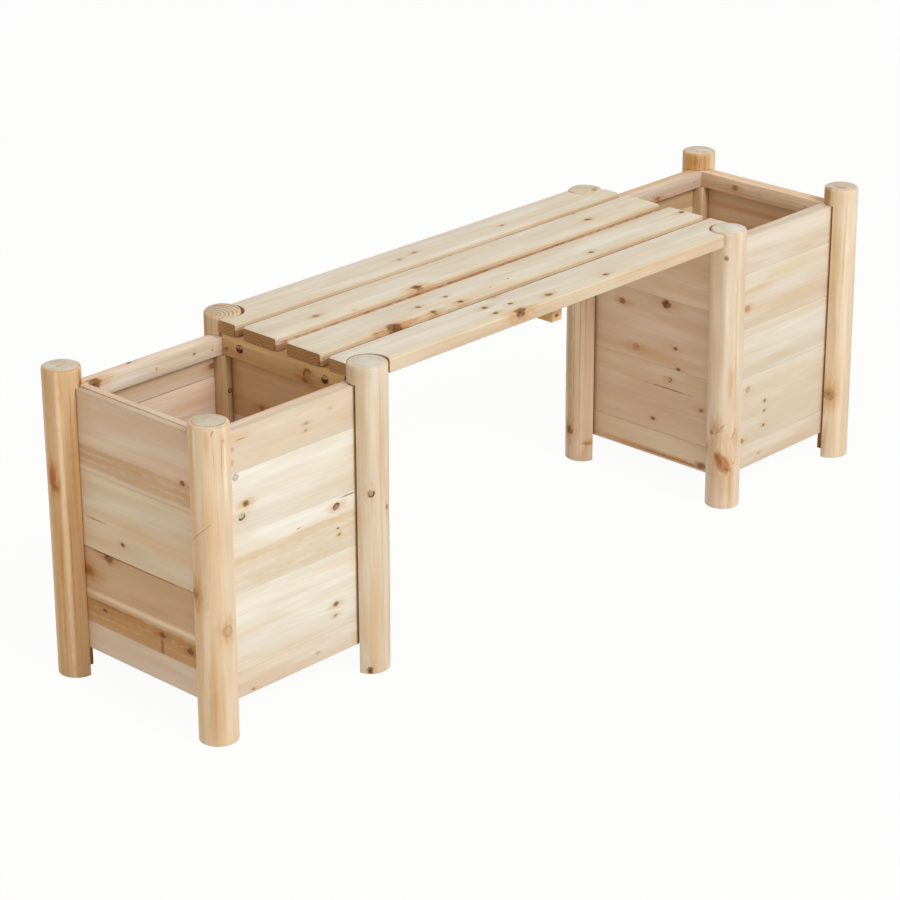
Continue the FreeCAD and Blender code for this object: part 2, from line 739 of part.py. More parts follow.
screw = wood_screw_master()
nail = nail_master()
post_screws = fastener_group("post_screws", screw, post_screw_places())
slat_screws = fastener_group("slat_screws", screw, slat_screw_places())
rim_nails = fastener_group("rim_nails", nail, rim_nail_places())
floor_nails = fastener_group("floor_nails", nail, floor_nail_places())
bearer_nails = fastener_group("bearer_nails", nail, bearer_nail_places())
bolt_holes = make_bolts()
post_spaces = make_post_spaces()

make_posts(post_screws)
make_walls(post_screws, rim_nails, bearer_nails, bolt_holes, post_spaces)
make_rim_battens(rim_nails)
make_corner_battens(post_screws)
make_floors(floor_nails, bearer_nails)
make_seat(slat_screws, bolt_holes, post_spaces)

doc.recompute()
check_objects()
write_parts()
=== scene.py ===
# Looks of the planter bench: peeled log posts, sawn boards, slats, battens, screws, nails and bolts
import math
import random

import bmesh
import bpy
from mathutils import Matrix, Vector, noise


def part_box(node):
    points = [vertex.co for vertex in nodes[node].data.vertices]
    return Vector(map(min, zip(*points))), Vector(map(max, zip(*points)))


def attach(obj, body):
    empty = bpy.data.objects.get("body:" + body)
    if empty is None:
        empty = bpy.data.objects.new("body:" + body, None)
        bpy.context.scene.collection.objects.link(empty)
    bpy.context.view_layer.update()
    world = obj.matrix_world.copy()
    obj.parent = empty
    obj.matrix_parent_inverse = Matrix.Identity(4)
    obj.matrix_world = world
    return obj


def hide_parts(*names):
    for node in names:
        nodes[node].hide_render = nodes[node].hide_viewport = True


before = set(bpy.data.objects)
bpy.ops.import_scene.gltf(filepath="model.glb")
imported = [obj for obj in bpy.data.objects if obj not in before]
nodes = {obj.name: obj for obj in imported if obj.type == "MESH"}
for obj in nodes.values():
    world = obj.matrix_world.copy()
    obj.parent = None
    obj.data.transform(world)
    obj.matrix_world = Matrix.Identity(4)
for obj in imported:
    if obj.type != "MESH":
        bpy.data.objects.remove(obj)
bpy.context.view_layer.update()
alongX, alongY, alongZ = 0, 1, 2
axes = (alongX, alongY, alongZ)
millimetre = 0.001


def srgb(red, green, blue):
    # A colour as a picture editor shows it, 0 to 255, made linear
    return tuple(
        (c / 255 / 12.92) if c <= 10 else ((c / 255 + 0.055) / 1.055) ** 2.4
        for c in (red, green, blue)
    )


def shaded(colour, tint):
    # Each part of the colour times the same part of the tint
    return [part * share for part, share in zip(colour, tint)]


def longestAxis(low, high):
    return max(axes, key=lambda axis: high[axis] - low[axis])


def addObject(name, data):
    made = bpy.data.objects.new(name, data)
    bpy.context.scene.collection.objects.link(made)
    return made


def newMaterial(name):
    made = bpy.data.materials.new(name)
    made.use_nodes = True
    made.node_tree.nodes.clear()
    return made, made.node_tree


def takeMesh(bm, name):
    # Ends the editing of a mesh and keeps what was made
    mesh = bpy.data.meshes.new(name)
    bm.to_mesh(mesh)
    bm.free()
    return mesh


def smoothMesh(mesh, degrees):
    mesh.shade_smooth()
    mesh.set_sharp_from_angle(angle=math.radians(degrees))


def takePlaceOf(node, piece):
    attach(piece, "root")
    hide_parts(node)


# Camera: it stands where the picture was taken from
camera = {
    "place": (-2.9289, -2.7172, 1.8311),
    "heading": 0.7609,  # radians from the x axis
    "pitch": -0.395,
    "roll": -0.0039,
    "lens": 116.91,
    "sensorWidth": 36,
    "farthest": 50,
}


def makeCamera():
    heading, pitch, roll = camera["heading"], camera["pitch"], camera["roll"]
    ahead = math.cos(pitch)
    forward = Vector((ahead * math.cos(heading), ahead * math.sin(heading), math.sin(pitch)))
    right = Vector((math.sin(heading), -math.cos(heading), 0))
    up = right.cross(forward)
    turnedRight = math.cos(roll) * right + math.sin(roll) * up
    turnedUp = -math.sin(roll) * right + math.cos(roll) * up
    data = bpy.data.cameras.new("pictureCamera")
    data.lens = camera["lens"]
    data.sensor_width = camera["sensorWidth"]
    data.clip_end = camera["farthest"]
    eye = addObject("pictureCamera", data)
    turn = Matrix((turnedRight, turnedUp, -forward)).transposed().to_4x4()
    eye.matrix_world = Matrix.Translation(camera["place"]) @ turn
    bpy.context.scene.camera = eye


# Studio: white floor, soft key lamp from the front right, weak lamp from the left
studio = {
    "keyLamp": {"place": (-0.2, -5.4, 5.1), "size": 3.6, "power": 280, "colour": (1.0, 1.0, 1.02)},
    "sideLamp": {"place": (-3.6, 0.4, 1.9), "size": 2.4, "power": 5, "colour": (1.0, 0.88, 0.75)},
    "lampAim": (0, 0, 0.25),
    "skyLight": 0.52,
    "skyColour": (1.0, 0.93, 0.85),
    "floorGlow": 0.95,
    "floorColour": (0.92, 0.89, 0.85),
    "floorHalfWidth": 12,
}


def makeLamp(name):
    look = studio[name]
    data = bpy.data.lights.new(name, "AREA")
    data.shape = "DISK"
    data.size = look["size"]
    data.energy = look["power"]
    data.color = look["colour"]
    lamp = addObject(name, data)
    lamp.location = look["place"]
    aim = Vector(studio["lampAim"]) - Vector(look["place"])
    lamp.rotation_euler = aim.to_track_quat("-Z", "Y").to_euler()


def seenByEye(tree):
    # 1 for rays that show the background: seen, mirrored or through glass
    path = tree.nodes.new("ShaderNodeLightPath")
    shown = calc(tree, "MAXIMUM", path.outputs["Is Camera Ray"], path.outputs["Is Glossy Ray"])
    return calc(tree, "MAXIMUM", shown, path.outputs["Is Transmission Ray"])


def makeStudio():
    makeLamp("keyLamp")
    makeLamp("sideLamp")
    world = bpy.data.worlds.new("studioAir")
    world.use_nodes = True
    tree = world.node_tree
    tree.nodes.clear()
    sky = {"Color": (*studio["skyColour"], 1), "Strength": studio["skyLight"]}
    white = addNode(tree, "ShaderNodeBackground", {"Color": (1, 1, 1, 1), "Strength": 1.0})
    soft = addNode(tree, "ShaderNodeBackground", sky)
    air = addNode(tree, "ShaderNodeMixShader", {0: seenByEye(tree), 1: soft.outputs[0], 2: white.outputs[0]})
    addNode(tree, "ShaderNodeOutputWorld", {"Surface": air.outputs[0]})
    bpy.context.scene.world = world
    half = studio["floorHalfWidth"]
    mesh = bpy.data.meshes.new("studioFloor")
    corners = [(-half, -half, 0), (half, -half, 0), (half, half, 0), (-half, half, 0)]
    mesh.from_pydata(corners, [], [(0, 1, 2, 3)])
    floor = addObject("studioFloor", mesh)
    paint, tree = newMaterial("studioFloor")
    matte = addNode(tree, "ShaderNodeBsdfDiffuse", {"Color": (*studio["floorColour"], 1)})
    glow = addNode(tree, "ShaderNodeEmission", {"Color": (1, 1, 1, 1), "Strength": 1.0})
    share = times(tree, seenByEye(tree), studio["floorGlow"])
    surface = addNode(tree, "ShaderNodeMixShader", {0: share, 1: matte.outputs[0], 2: glow.outputs[0]})
    addNode(tree, "ShaderNodeOutputMaterial", {"Surface": surface.outputs[0]})
    mesh.materials.append(paint)


# Small helpers for node trees
def addNode(tree, kind, inputs=None, **settings):
    made = tree.nodes.new(kind)
    for name, value in settings.items():
        setattr(made, name, value)
    for key, value in (inputs or {}).items():
        feed(tree, made.inputs[key], value)
    return made


def feed(tree, socket, value):
    if isinstance(value, bpy.types.NodeSocket):
        tree.links.new(value, socket)
    else:
        socket.default_value = value


def calc(tree, operation, *values):
    return addNode(tree, "ShaderNodeMath", dict(enumerate(values)), operation=operation).outputs[0]


def times(tree, first, second):
    return calc(tree, "MULTIPLY", first, second)


def vectorCalc(tree, operation, *values):
    made = addNode(tree, "ShaderNodeVectorMath", dict(enumerate(values)), operation=operation)
    return made.outputs["Value" if operation in ("LENGTH", "DOT_PRODUCT") else "Vector"]


def scaled(tree, vector, factor):
    made = addNode(tree, "ShaderNodeVectorMath", {0: vector, "Scale": factor}, operation="SCALE")
    return made.outputs["Vector"]


def mixColour(tree, share, first, second, blend="MIX"):
    made = tree.nodes.new("ShaderNodeMix")
    made.data_type = "RGBA"
    made.blend_type = blend
    feed(tree, made.inputs[0], share)
    feed(tree, made.inputs[6], first)
    feed(tree, made.inputs[7], second)
    return made.outputs[2]


def ramp(tree, value, fromLow, fromHigh, toLow=0.0, toHigh=1.0):
    made = tree.nodes.new("ShaderNodeMapRange")
    made.interpolation_type = "SMOOTHSTEP"
    for socket, number in zip(made.inputs[:5], (value, fromLow, fromHigh, toLow, toHigh)):
        feed(tree, socket, number)
    return made.outputs[0]


def noiseAt(tree, place, stretch, detail=2.0):
    stretched = vectorCalc(tree, "MULTIPLY", place, stretch)
    made = addNode(tree, "ShaderNodeTexNoise", {"Vector": stretched, "Scale": 1.0, "Detail": detail})
    return made.outputs[0]


def newGroup(name, inputs, outputs):
    tree = bpy.data.node_groups.new(name, "ShaderNodeTree")
    kinds = {"number": "NodeSocketFloat", "vector": "NodeSocketVector", "colour": "NodeSocketColor"}
    for side, sockets in (("INPUT", inputs), ("OUTPUT", outputs)):
        for label, kind in sockets.items():
            tree.interface.new_socket(label, in_out=side, socket_type=kinds[kind])
    given = tree.nodes.new("NodeGroupInput").outputs
    result = tree.nodes.new("NodeGroupOutput").inputs
    return tree, given, result


def useGroup(tree, group, inputs):
    made = tree.nodes.new("ShaderNodeGroup")
    made.node_tree = group
    for key, value in inputs.items():
        feed(tree, made.inputs[key], value)
    return made.outputs


# How softwood looks close up: broad warm and pale bands, soft patches, fine streaks, fibres,
# and yearly rings round a pith. Stretches are bumps per metre along the grain and across it.
figure = {
    "slowStretch": (3.0, 14.0, 14.0),
    "patchStretch": (7.0, 42.0, 42.0),
    "streakStretch": (3.4, 105.0, 105.0),
    "fibreStretch": (16.0, 520.0, 520.0),
    "raggedStretch": (80.0, 190.0, 190.0),  # the uneven edge of knots and stains
    "warmBand": (0.965, 0.905, 0.83),
    "paleBand": (1.02, 1.03, 1.05),
    "warmPatch": (0.96, 0.91, 0.85),
    "palePatch": (1.03, 1.045, 1.06),
    "sideLate": (0.86, 0.74, 0.60),  # darker summer edge of each ring, on the sides and on cut ends
    "endLate": (0.58, 0.44, 0.31),
    "arrisTint": (0.93, 0.86, 0.76),
    "bumpDistance": 0.0005,
    "roughness": 0.48,
    "fibreRoughness": 0.22,
    "specular": 0.3,
}


def tinted(tree, colour, tint):
    return mixColour(tree, 1.0, colour, (*tint, 1), "MULTIPLY")


def woodFigureGroup():
    tree, given, result = newGroup(
        "woodFigure",
        {
            "Flow": "vector", "Tone": "colour", "End": "number", "Ring Width": "number", "Warp": "number",
            "Contrast": "number", "Bands": "number", "Band Stretch": "vector", "Patches": "number",
            "Streaks": "number",
        },
        {"Colour": "colour", "Roughness": "number", "Height": "number"},
    )
    flow = given["Flow"]
    slow = noiseAt(tree, flow, figure["slowStretch"], 1.5)
    band = noiseAt(tree, flow, given["Band Stretch"], 2.5)
    patch = noiseAt(tree, flow, figure["patchStretch"], 2.0)
    streak = noiseAt(tree, flow, figure["streakStretch"], 3.0)
    fibre = noiseAt(tree, flow, figure["fibreStretch"], 2.0)
    ground = given["Tone"]
    for texture, amount, warm, pale in (
        (band, "Bands", "warmBand", "paleBand"), (patch, "Patches", "warmPatch", "palePatch"),
    ):
        warmGround = tinted(tree, ground, figure[warm])
        paleGround = tinted(tree, ground, figure[pale])
        mixed = mixColour(tree, ramp(tree, texture, 0.36, 0.64), warmGround, paleGround)
        ground = mixColour(tree, given[amount], ground, mixed)
    fromPith = vectorCalc(tree, "LENGTH", vectorCalc(tree, "MULTIPLY", flow, (0, 1, 1)))
    wander = times(tree, calc(tree, "SUBTRACT", slow, 0.5), given["Warp"])
    rings = calc(tree, "DIVIDE", calc(tree, "ADD", fromPith, wander), given["Ring Width"])
    year = calc(tree, "FRACT", rings)
    summer = times(tree, ramp(tree, year, 0.25, 0.80), ramp(tree, year, 1.0, 0.88))
    faded = times(tree, summer, ramp(tree, patch, 0.30, 0.62, 0.3, 1.0))
    share = times(tree, faded, given["Contrast"])
    lateTint = mixColour(tree, given["End"], (*figure["sideLate"], 1), (*figure["endLate"], 1))
    late = mixColour(tree, 1.0, ground, lateTint, "MULTIPLY")
    colour = mixColour(tree, share, ground, late)
    depth = given["Streaks"]
    streakLight = calc(tree, "MULTIPLY_ADD", ramp(tree, streak, 0.32, 0.68, -1.0, 0.6), depth, 1.0)
    fibreLight = calc(tree, "MULTIPLY_ADD", ramp(tree, fibre, 0.30, 0.70, -0.8, 0.8), depth, 1.0)
    tree.links.new(scaled(tree, colour, times(tree, streakLight, fibreLight)), result["Colour"])
    rough = calc(tree, "MULTIPLY_ADD", fibre, figure["fibreRoughness"], figure["roughness"])
    tree.links.new(calc(tree, "MULTIPLY_ADD", share, -0.08, rough), result["Roughness"])
    tree.links.new(calc(tree, "MULTIPLY_ADD", share, 0.7, fibre), result["Height"])
    return tree


# Knots. Reaches are in radii of the knot, and stretches run along the grain.
knotLook = {
    "core": srgb(144, 93, 55),
    "rim": srgb(78, 45, 22),
    "halo": (0.86, 0.68, 0.49),
    "haloReach": 2.6,
    "haloStretch": 1.8,
    "blotches": (150.0, 260.0, 260.0),
    "swingLength": 3.2,
    "swingWidth": 2.2,
    "stretch": 1.4,
    "barkShare": 0.9,  # how hollow a knot with bark is
}


def knotFlowGroup():
    # The fibres swing round a knot
    sockets = {"Grain": "vector", "Flow": "vector", "Centre": "vector", "Radius": "number"}
    tree, given, result = newGroup("knotFlow", sockets, {"Flow": "vector"})
    radius = given["Radius"]
    away = vectorCalc(tree, "SUBTRACT", given["Grain"], given["Centre"])
    part = addNode(tree, "ShaderNodeSeparateXYZ", {0: away}).outputs
    lengthShare = calc(tree, "DIVIDE", part[0], times(tree, radius, knotLook["swingLength"]))
    aside = calc(tree, "ABSOLUTE", part[1])
    widthShare = calc(tree, "DIVIDE", aside, times(tree, radius, knotLook["swingWidth"]))
    reach = calc(tree, "MULTIPLY_ADD", lengthShare, lengthShare, widthShare)
    fall = calc(tree, "EXPONENT", times(tree, reach, -1.0))
    push = times(tree, calc(tree, "SIGN", part[1]), times(tree, fall, radius))
    swing = addNode(tree, "ShaderNodeCombineXYZ", {1: push}).outputs[0]
    tree.links.new(vectorCalc(tree, "SUBTRACT", given["Flow"], swing), result["Flow"])
    return tree


def knotColourGroup():
    # A knot: warm halo, brown core, darker blotches and bark. A hollow knot keeps only its bark,
    # all round, or on one side where Side points.
    tree, given, result = newGroup(
        "knotColour",
        {
            "Grain": "vector", "Ragged": "number", "Colour": "colour", "Centre": "vector", "Radius": "number",
            "Stretch": "number", "Dark": "number", "Halo": "number", "Hollow": "number", "Side": "vector",
        },
        {"Colour": "colour"},
    )
    radius, hollow = given["Radius"], given["Hollow"]
    away = vectorCalc(tree, "SUBTRACT", given["Grain"], given["Centre"])
    part = addNode(tree, "ShaderNodeSeparateXYZ", {0: away}).outputs
    long = calc(tree, "DIVIDE", part[0], given["Stretch"])
    deep = times(tree, part[2], 0.6)
    squeezed = addNode(tree, "ShaderNodeCombineXYZ", {0: long, 1: part[1], 2: deep}).outputs[0]
    uneven = calc(tree, "SUBTRACT", given["Ragged"], 0.5)
    distance = calc(tree, "DIVIDE", vectorCalc(tree, "LENGTH", squeezed), radius)
    reach = calc(tree, "MULTIPLY_ADD", uneven, 0.8, distance)
    core = times(tree, ramp(tree, reach, 1.2, 0.55), given["Dark"])
    blotch = ramp(tree, noiseAt(tree, given["Grain"], knotLook["blotches"], 1.0), 0.40, 0.62)
    ring = times(tree, ramp(tree, reach, 0.45, 0.85), ramp(tree, reach, 1.3, 0.95))
    facing = calc(tree, "DIVIDE", vectorCalc(tree, "DOT_PRODUCT", squeezed, given["Side"]), radius)
    arc = times(tree, ring, ramp(tree, facing, -0.3, 0.3))
    solid = calc(tree, "SUBTRACT", 1.0, hollow)
    eye = times(tree, ramp(tree, reach, 0.75, 0.2), blotch)
    bark = calc(tree, "MAXIMUM", times(tree, ring, times(tree, blotch, 0.7)), eye)
    dark = calc(tree, "ADD", times(tree, bark, solid), times(tree, arc, hollow))
    dark = times(tree, dark, given["Dark"])
    coreShare = times(tree, core, calc(tree, "MULTIPLY_ADD", hollow, -0.8, 1.0))
    spread = vectorCalc(tree, "MULTIPLY", squeezed, (1 / knotLook["haloStretch"], 1, 1))
    spread = calc(tree, "DIVIDE", vectorCalc(tree, "LENGTH", spread), radius)
    spread = calc(tree, "MULTIPLY_ADD", uneven, 2.0, spread)
    glow = times(tree, ramp(tree, spread, knotLook["haloReach"], 0.4), given["Halo"])
    colour = mixColour(tree, glow, given["Colour"], tinted(tree, given["Colour"], knotLook["halo"]))
    colour = mixColour(tree, coreShare, colour, (*knotLook["core"], 1))
    colour = mixColour(tree, dark, colour, (*knotLook["rim"], 1))
    tree.links.new(colour, result["Colour"])
    return tree


def woodStainGroup():
    # A long soft-edged patch: a band of heartwood, a brown smear, a drying crack, or painted shade such as a
    # shadow line.
    # Where Hoop isn't zero it is a ring of that radius round Run.
    tree, given, result = newGroup(
        "woodStain",
        {
            "Grain": "vector", "Ragged": "number", "Colour": "colour", "Centre": "vector", "Run": "vector",
            "Half Length": "number", "Half Width": "number", "Soft": "number", "Tint": "colour",
            "Hoop": "number",
        },
        {"Colour": "colour"},
    )
    away = vectorCalc(tree, "SUBTRACT", given["Grain"], given["Centre"])
    along = vectorCalc(tree, "DOT_PRODUCT", away, given["Run"])
    aside = vectorCalc(tree, "SUBTRACT", away, scaled(tree, given["Run"], along))
    longShare = calc(tree, "DIVIDE", along, given["Half Length"])
    offHoop = calc(tree, "SUBTRACT", vectorCalc(tree, "LENGTH", aside), given["Hoop"])
    wideShare = calc(tree, "DIVIDE", offHoop, given["Half Width"])
    square = calc(tree, "MULTIPLY_ADD", longShare, longShare, times(tree, wideShare, wideShare))
    uneven = calc(tree, "SUBTRACT", given["Ragged"], 0.5)
    reach = calc(tree, "ADD", calc(tree, "SQRT", square), uneven)
    low = calc(tree, "SUBTRACT", 1.0, given["Soft"])
    high = calc(tree, "ADD", 1.0, given["Soft"])
    cover = ramp(tree, reach, high, low)
    shade = mixColour(tree, 1.0, given["Colour"], given["Tint"], "MULTIPLY")
    tree.links.new(mixColour(tree, cover, given["Colour"], shade), result["Colour"])
    return tree


woodFigure = woodFigureGroup()
knotFlow = knotFlowGroup()
knotColour = knotColourGroup()
woodStain = woodStainGroup()

# One entry per kind of wooden piece; sizes in metres
finishes = {
    "log": {
        "ringWidth": 0.0026, "warp": 0.010, "contrast": 0.08, "endContrast": 0.35, "bands": 0.9,
        "bandStretch": (1.6, 44.0, 44.0), "patches": 1.1, "streaks": 0.045, "bump": 0.35, "arris": 0.2,
        "endTint": (1.0, 0.99, 0.97),
    },
    "board": {
        "ringWidth": 0.0046, "warp": 0.020, "contrast": 0.12, "endContrast": 0.6, "bands": 0.8,
        "bandStretch": (1.6, 30.0, 30.0), "patches": 0.85, "streaks": 0.028, "bump": 0.18, "arris": 0.3,
        "endTint": (0.58, 0.40, 0.25),
    },
    "slat": {
        "ringWidth": 0.0042, "warp": 0.014, "contrast": 0.15, "endContrast": 0.7, "bands": 0.7,
        "bandStretch": (1.6, 34.0, 34.0), "patches": 0.9, "streaks": 0.036, "bump": 0.2, "arris": 0.9,
        "endTint": (0.64, 0.40, 0.20),
    },
    "batten": {
        "ringWidth": 0.0036, "warp": 0.012, "contrast": 0.36, "endContrast": 0.6, "bands": 0.9,
        "bandStretch": (2.0, 60.0, 60.0), "patches": 0.8, "streaks": 0.09, "bump": 0.25, "arris": 0.6,
        "endTint": (0.78, 0.64, 0.48),
    },
}


def woodMaterial(name, finish, knots=(), stains=()):
    # Knots and stains hold the inputs of their groups; those that they leave out stay zero
    made, tree = newMaterial(name)
    outputs = {"grainPlace": "Vector", "boardTint": "Color", "endGrain": "Fac", "arris": "Fac"}
    layer = {}
    for label, output in outputs.items():
        layer[label] = addNode(tree, "ShaderNodeAttribute", attribute_name=label).outputs[output]
    grain, end = layer["grainPlace"], layer["endGrain"]
    flow = grain
    for knot in knots:
        near = {"Centre": knot["Centre"], "Radius": knot["Radius"]}
        flow = useGroup(tree, knotFlow, {"Grain": grain, "Flow": flow, **near})["Flow"]
    contrast = calc(tree, "MULTIPLY_ADD", end, finish["endContrast"] - finish["contrast"], finish["contrast"])
    shown = useGroup(
        tree, woodFigure,
        {
            "Flow": flow, "Tone": layer["boardTint"], "End": end, "Contrast": contrast,
            "Ring Width": finish["ringWidth"], "Warp": finish["warp"], "Bands": finish["bands"],
            "Band Stretch": finish["bandStretch"], "Patches": finish["patches"], "Streaks": finish["streaks"],
        },
    )
    place = {"Grain": grain, "Ragged": noiseAt(tree, grain, figure["raggedStretch"], 2.0)}
    colour = shown["Colour"]
    for stain in stains:
        colour = useGroup(tree, woodStain, {**place, "Colour": colour, **stain})["Colour"]
    for knot in knots:
        colour = useGroup(tree, knotColour, {**place, "Colour": colour, **knot})["Colour"]
    worn = times(tree, layer["arris"], finish["arris"])
    colour = mixColour(tree, worn, colour, tinted(tree, colour, figure["arrisTint"]))
    colour = mixColour(tree, end, colour, tinted(tree, colour, finish["endTint"]))
    bump = addNode(
        tree, "ShaderNodeBump",
        {"Strength": finish["bump"], "Distance": figure["bumpDistance"], "Height": shown["Height"]},
    )
    surface = addNode(
        tree, "ShaderNodeBsdfPrincipled",
        {
            "Base Color": colour, "Roughness": shown["Roughness"], "Normal": bump.outputs[0],
            "Specular IOR Level": figure["specular"],
        },
    )
    addNode(tree, "ShaderNodeOutputMaterial", {"Surface": surface.outputs[0]})
    return made


# Wood meshes: each board carries its own place in the grain, its tint, and marks on ends and arrises
def newWood():
    bm = bmesh.new()
    layers = {
        "grain": bm.verts.layers.float_vector.new("grainPlace"),
        "tint": bm.faces.layers.float_color.new("boardTint"),
        "end": bm.faces.layers.float.new("endGrain"),
        "arris": bm.faces.layers.float.new("arris"),
    }
    return bm, layers


def finishPiece(bm, name, node, material, smoothAngle=35):
    bmesh.ops.recalc_face_normals(bm, faces=bm.faces)
    mesh = takeMesh(bm, name)
    mesh.materials.append(material)
    smoothMesh(mesh, smoothAngle)
    takePlaceOf(node, addObject(name, mesh))


def widestFirst(low, high, along):
    # The other two axes of a board, the wide one first
    others = [axis for axis in axes if axis != along]
    others.sort(key=lambda axis: low[axis] - high[axis])
    return others


def roundedSection(halfWide, halfThick, ease, steps):
    points = []
    for quarter, (side, top) in enumerate(((1, 1), (-1, 1), (-1, -1), (1, -1))):
        for step in range(steps + 1):
            angle = math.pi / 2 * (quarter + step / steps)
            u = side * (halfWide - ease) + ease * math.cos(angle)
            v = top * (halfThick - ease) + ease * math.sin(angle)
            points.append((u, v))
    return points


def ringFaces(bm, first, second):
    # The faces between two loops of points
    found = []
    for index in range(len(first)):
        following = (index + 1) % len(first)
        found.append(bm.faces.new((first[index], first[following], second[following], second[index])))
    return found


def addEnd(bm, layers, loop, tint):
    # A sawn end
    face = bm.faces.new(loop)
    face[layers["tint"]] = (*tint, 1)
    face[layers["end"]] = 1.0


def addBoard(bm, layers, low, high, along, look, tint, seed):
    # A sawn board swept along the grain, with eased arrises and ends, not quite straight
    chance = random.Random(seed)
    wide, thick = widestFirst(low, high, along)
    length = high[along] - low[along]
    halfWide = (high[wide] - low[wide]) / 2
    halfThick = (high[thick] - low[thick]) / 2
    middle = [(low[axis] + high[axis]) / 2 for axis in axes]
    ease, steps, wobble = look["ease"], look["steps"], look["wobble"]
    section = roundedSection(halfWide, halfThick, ease, steps)
    pithAside = chance.uniform(-0.9, 0.9) * halfWide
    pithDepth = look["pithDepth"] * chance.uniform(0.7, 1.4)
    shift = Vector((chance.uniform(-8, 8), -middle[wide] + pithAside, -middle[thick] + pithDepth))
    count = max(2, round(length / look["station"]))
    places = [0.0, ease] + [length * step / count for step in range(1, count)] + [length - ease, length]
    loops = []
    for place in places:
        inset = ease * 0.7 if place in (0.0, length) else 0.0
        bend = wobble * noise.noise(Vector((place * 3.1, seed * 1.7, 0.3)))
        swell = wobble * noise.noise(Vector((place * 9.0, seed * 2.3, 5.1)))
        rise = wobble * 0.6 * noise.noise(Vector((place * 4.3, seed * 3.1, 9.7)))
        shrinkU = (halfWide - inset + swell) / halfWide
        shrinkV = (halfThick - inset) / halfThick
        loop = []
        for u, v in section:
            point = [0.0, 0.0, 0.0]
            point[along] = low[along] + place
            point[wide] = middle[wide] + u * shrinkU + bend
            point[thick] = middle[thick] + v * shrinkV + rise
            vertex = bm.verts.new(point)
            vertex[layers["grain"]] = Vector((point[along], point[wide], point[thick])) + shift
            loop.append(vertex)
        loops.append(loop)
    # Narrow sides take the edge tint, which on the slats is partly painted shade
    edgeTint = shaded(tint, look.get("edgeTint", (1, 1, 1)))
    for first, second in zip(loops, loops[1:]):
        for index, face in enumerate(ringFaces(bm, first, second)):
            side, step = divmod(index, steps + 1)
            flat = step == steps
            narrow = flat and side in (1, 3)
            face[layers["tint"]] = (*(edgeTint if narrow else tint), 1)
            face[layers["arris"]] = 0.0 if flat else 1.0
    addEnd(bm, layers, loops[0], tint)
    addEnd(bm, layers, loops[-1], tint)
    return {"low": low, "high": high, "along": along, "wide": wide, "thick": thick, "shift": shift}


def grainOf(board, point):
    return Vector((point[board["along"]], point[board["wide"]], point[board["thick"]])) + board["shift"]


def knotOf(centre, size, dark, halo, side=None, hollowStretch=1.0):
    # size is the knot's diameter in millimetres; side is where a hollow knot has its bark, zero for all round
    knot = {"Centre": centre, "Radius": size / 2 * millimetre, "Dark": dark, "Halo": halo}
    knot["Stretch"] = knotLook["stretch"] if side is None else hollowStretch
    if side is not None:
        knot["Hollow"] = knotLook["barkShare"]
        knot["Side"] = side
    return knot


def knotAt(board, point, size, dark, halo, bark=None):
    # The bark is "round" the knot or towards a direction in degrees, 0 along the board and 90 across it
    side = None
    if bark == "round":
        side = (0, 0, 0)
    elif bark is not None:
        side = (math.cos(math.radians(bark)), math.sin(math.radians(bark)), 0)
    return knotOf(grainOf(board, point), size, dark, halo, side)


def stainOf(centre, halfLength, halfWidth, tint, soft, run=(1, 0, 0), hoop=0.0):
    return {
        "Centre": centre, "Run": run, "Half Length": halfLength, "Half Width": halfWidth,
        "Tint": (*tint, 1), "Soft": soft, "Hoop": hoop,
    }


def stainAt(board, point, *mark):
    return stainOf(grainOf(board, point), *mark)


# Cutting, with straight prisms
cutting = {
    "reach": 0.02,  # how far a cutter runs out of the piece
    "overlap": 0.0002,  # how far a cut goes below the rim
    "corners": 72,  # of a round cutter
    "endShare": 0.6,  # how much a cut face looks like sawn end grain
}


def booleanCut(piece, cutters):
    # Cuts the given meshes out of a piece and leaves a plain mesh
    for cutter in cutters:
        step = piece.modifiers.new("cut", "BOOLEAN")
        step.operation = "DIFFERENCE"
        step.solver = "EXACT"
        step.object = addObject("cutter", cutter)
    graph = bpy.context.evaluated_depsgraph_get()
    result = bpy.data.meshes.new_from_object(piece.evaluated_get(graph))
    for step in list(piece.modifiers):
        tool = step.object
        piece.modifiers.remove(step)
        bpy.data.objects.remove(tool)
    return result


def prismMesh(outline, bottom, top, tint):
    bm, layers = newWood()
    lower = [bm.verts.new((x, y, bottom)) for x, y in outline]
    upper = [bm.verts.new((x, y, top)) for x, y in outline]
    bm.faces.new(lower)
    bm.faces.new(upper)
    ringFaces(bm, lower, upper)
    for face in bm.faces:
        face[layers["tint"]] = (*tint, 1)
        face[layers["end"]] = cutting["endShare"]
    bmesh.ops.recalc_face_normals(bm, faces=bm.faces)
    return takeMesh(bm, "cutter")


def circlePoints(centreX, centreY, radius):
    turns = [2 * math.pi * step / cutting["corners"] for step in range(cutting["corners"])]
    return [(centreX + radius * math.cos(turn), centreY + radius * math.sin(turn)) for turn in turns]


def cutAndRegrain(bm, cutters, place):
    # Cuts the mesh, then gives every point its place in the grain again
    bmesh.ops.recalc_face_normals(bm, faces=bm.faces)
    draft = addObject("draft", takeMesh(bm, "draft"))
    result = booleanCut(draft, cutters)
    bpy.data.objects.remove(draft)
    cut = bmesh.new()
    cut.from_mesh(result)
    grain = cut.verts.layers.float_vector["grainPlace"]
    for vertex in cut.verts:
        vertex[grain] = place(vertex.co)
    return cut


# Where the posts stand, left and right, and front and back of the middle
outerX, innerX, sideY = 0.668, 0.382, 0.143
seatPosts = [(side * innerX, face * sideY) for side in (-1, 1) for face in (-1, 1)]
postNotchRadius = 0.0295


def headCutters(low, high, tint):
    # The upper corners of a seat-side wall or batten stop short of the round post heads
    near = [centre for centre in seatPosts if low.x - postNotchRadius < centre[0] < high.x + postNotchRadius]
    bottom, top = postShape["rim"] - cutting["overlap"], high.z + cutting["reach"]
    return [prismMesh(circlePoints(*centre, postNotchRadius), bottom, top, tint) for centre in near]


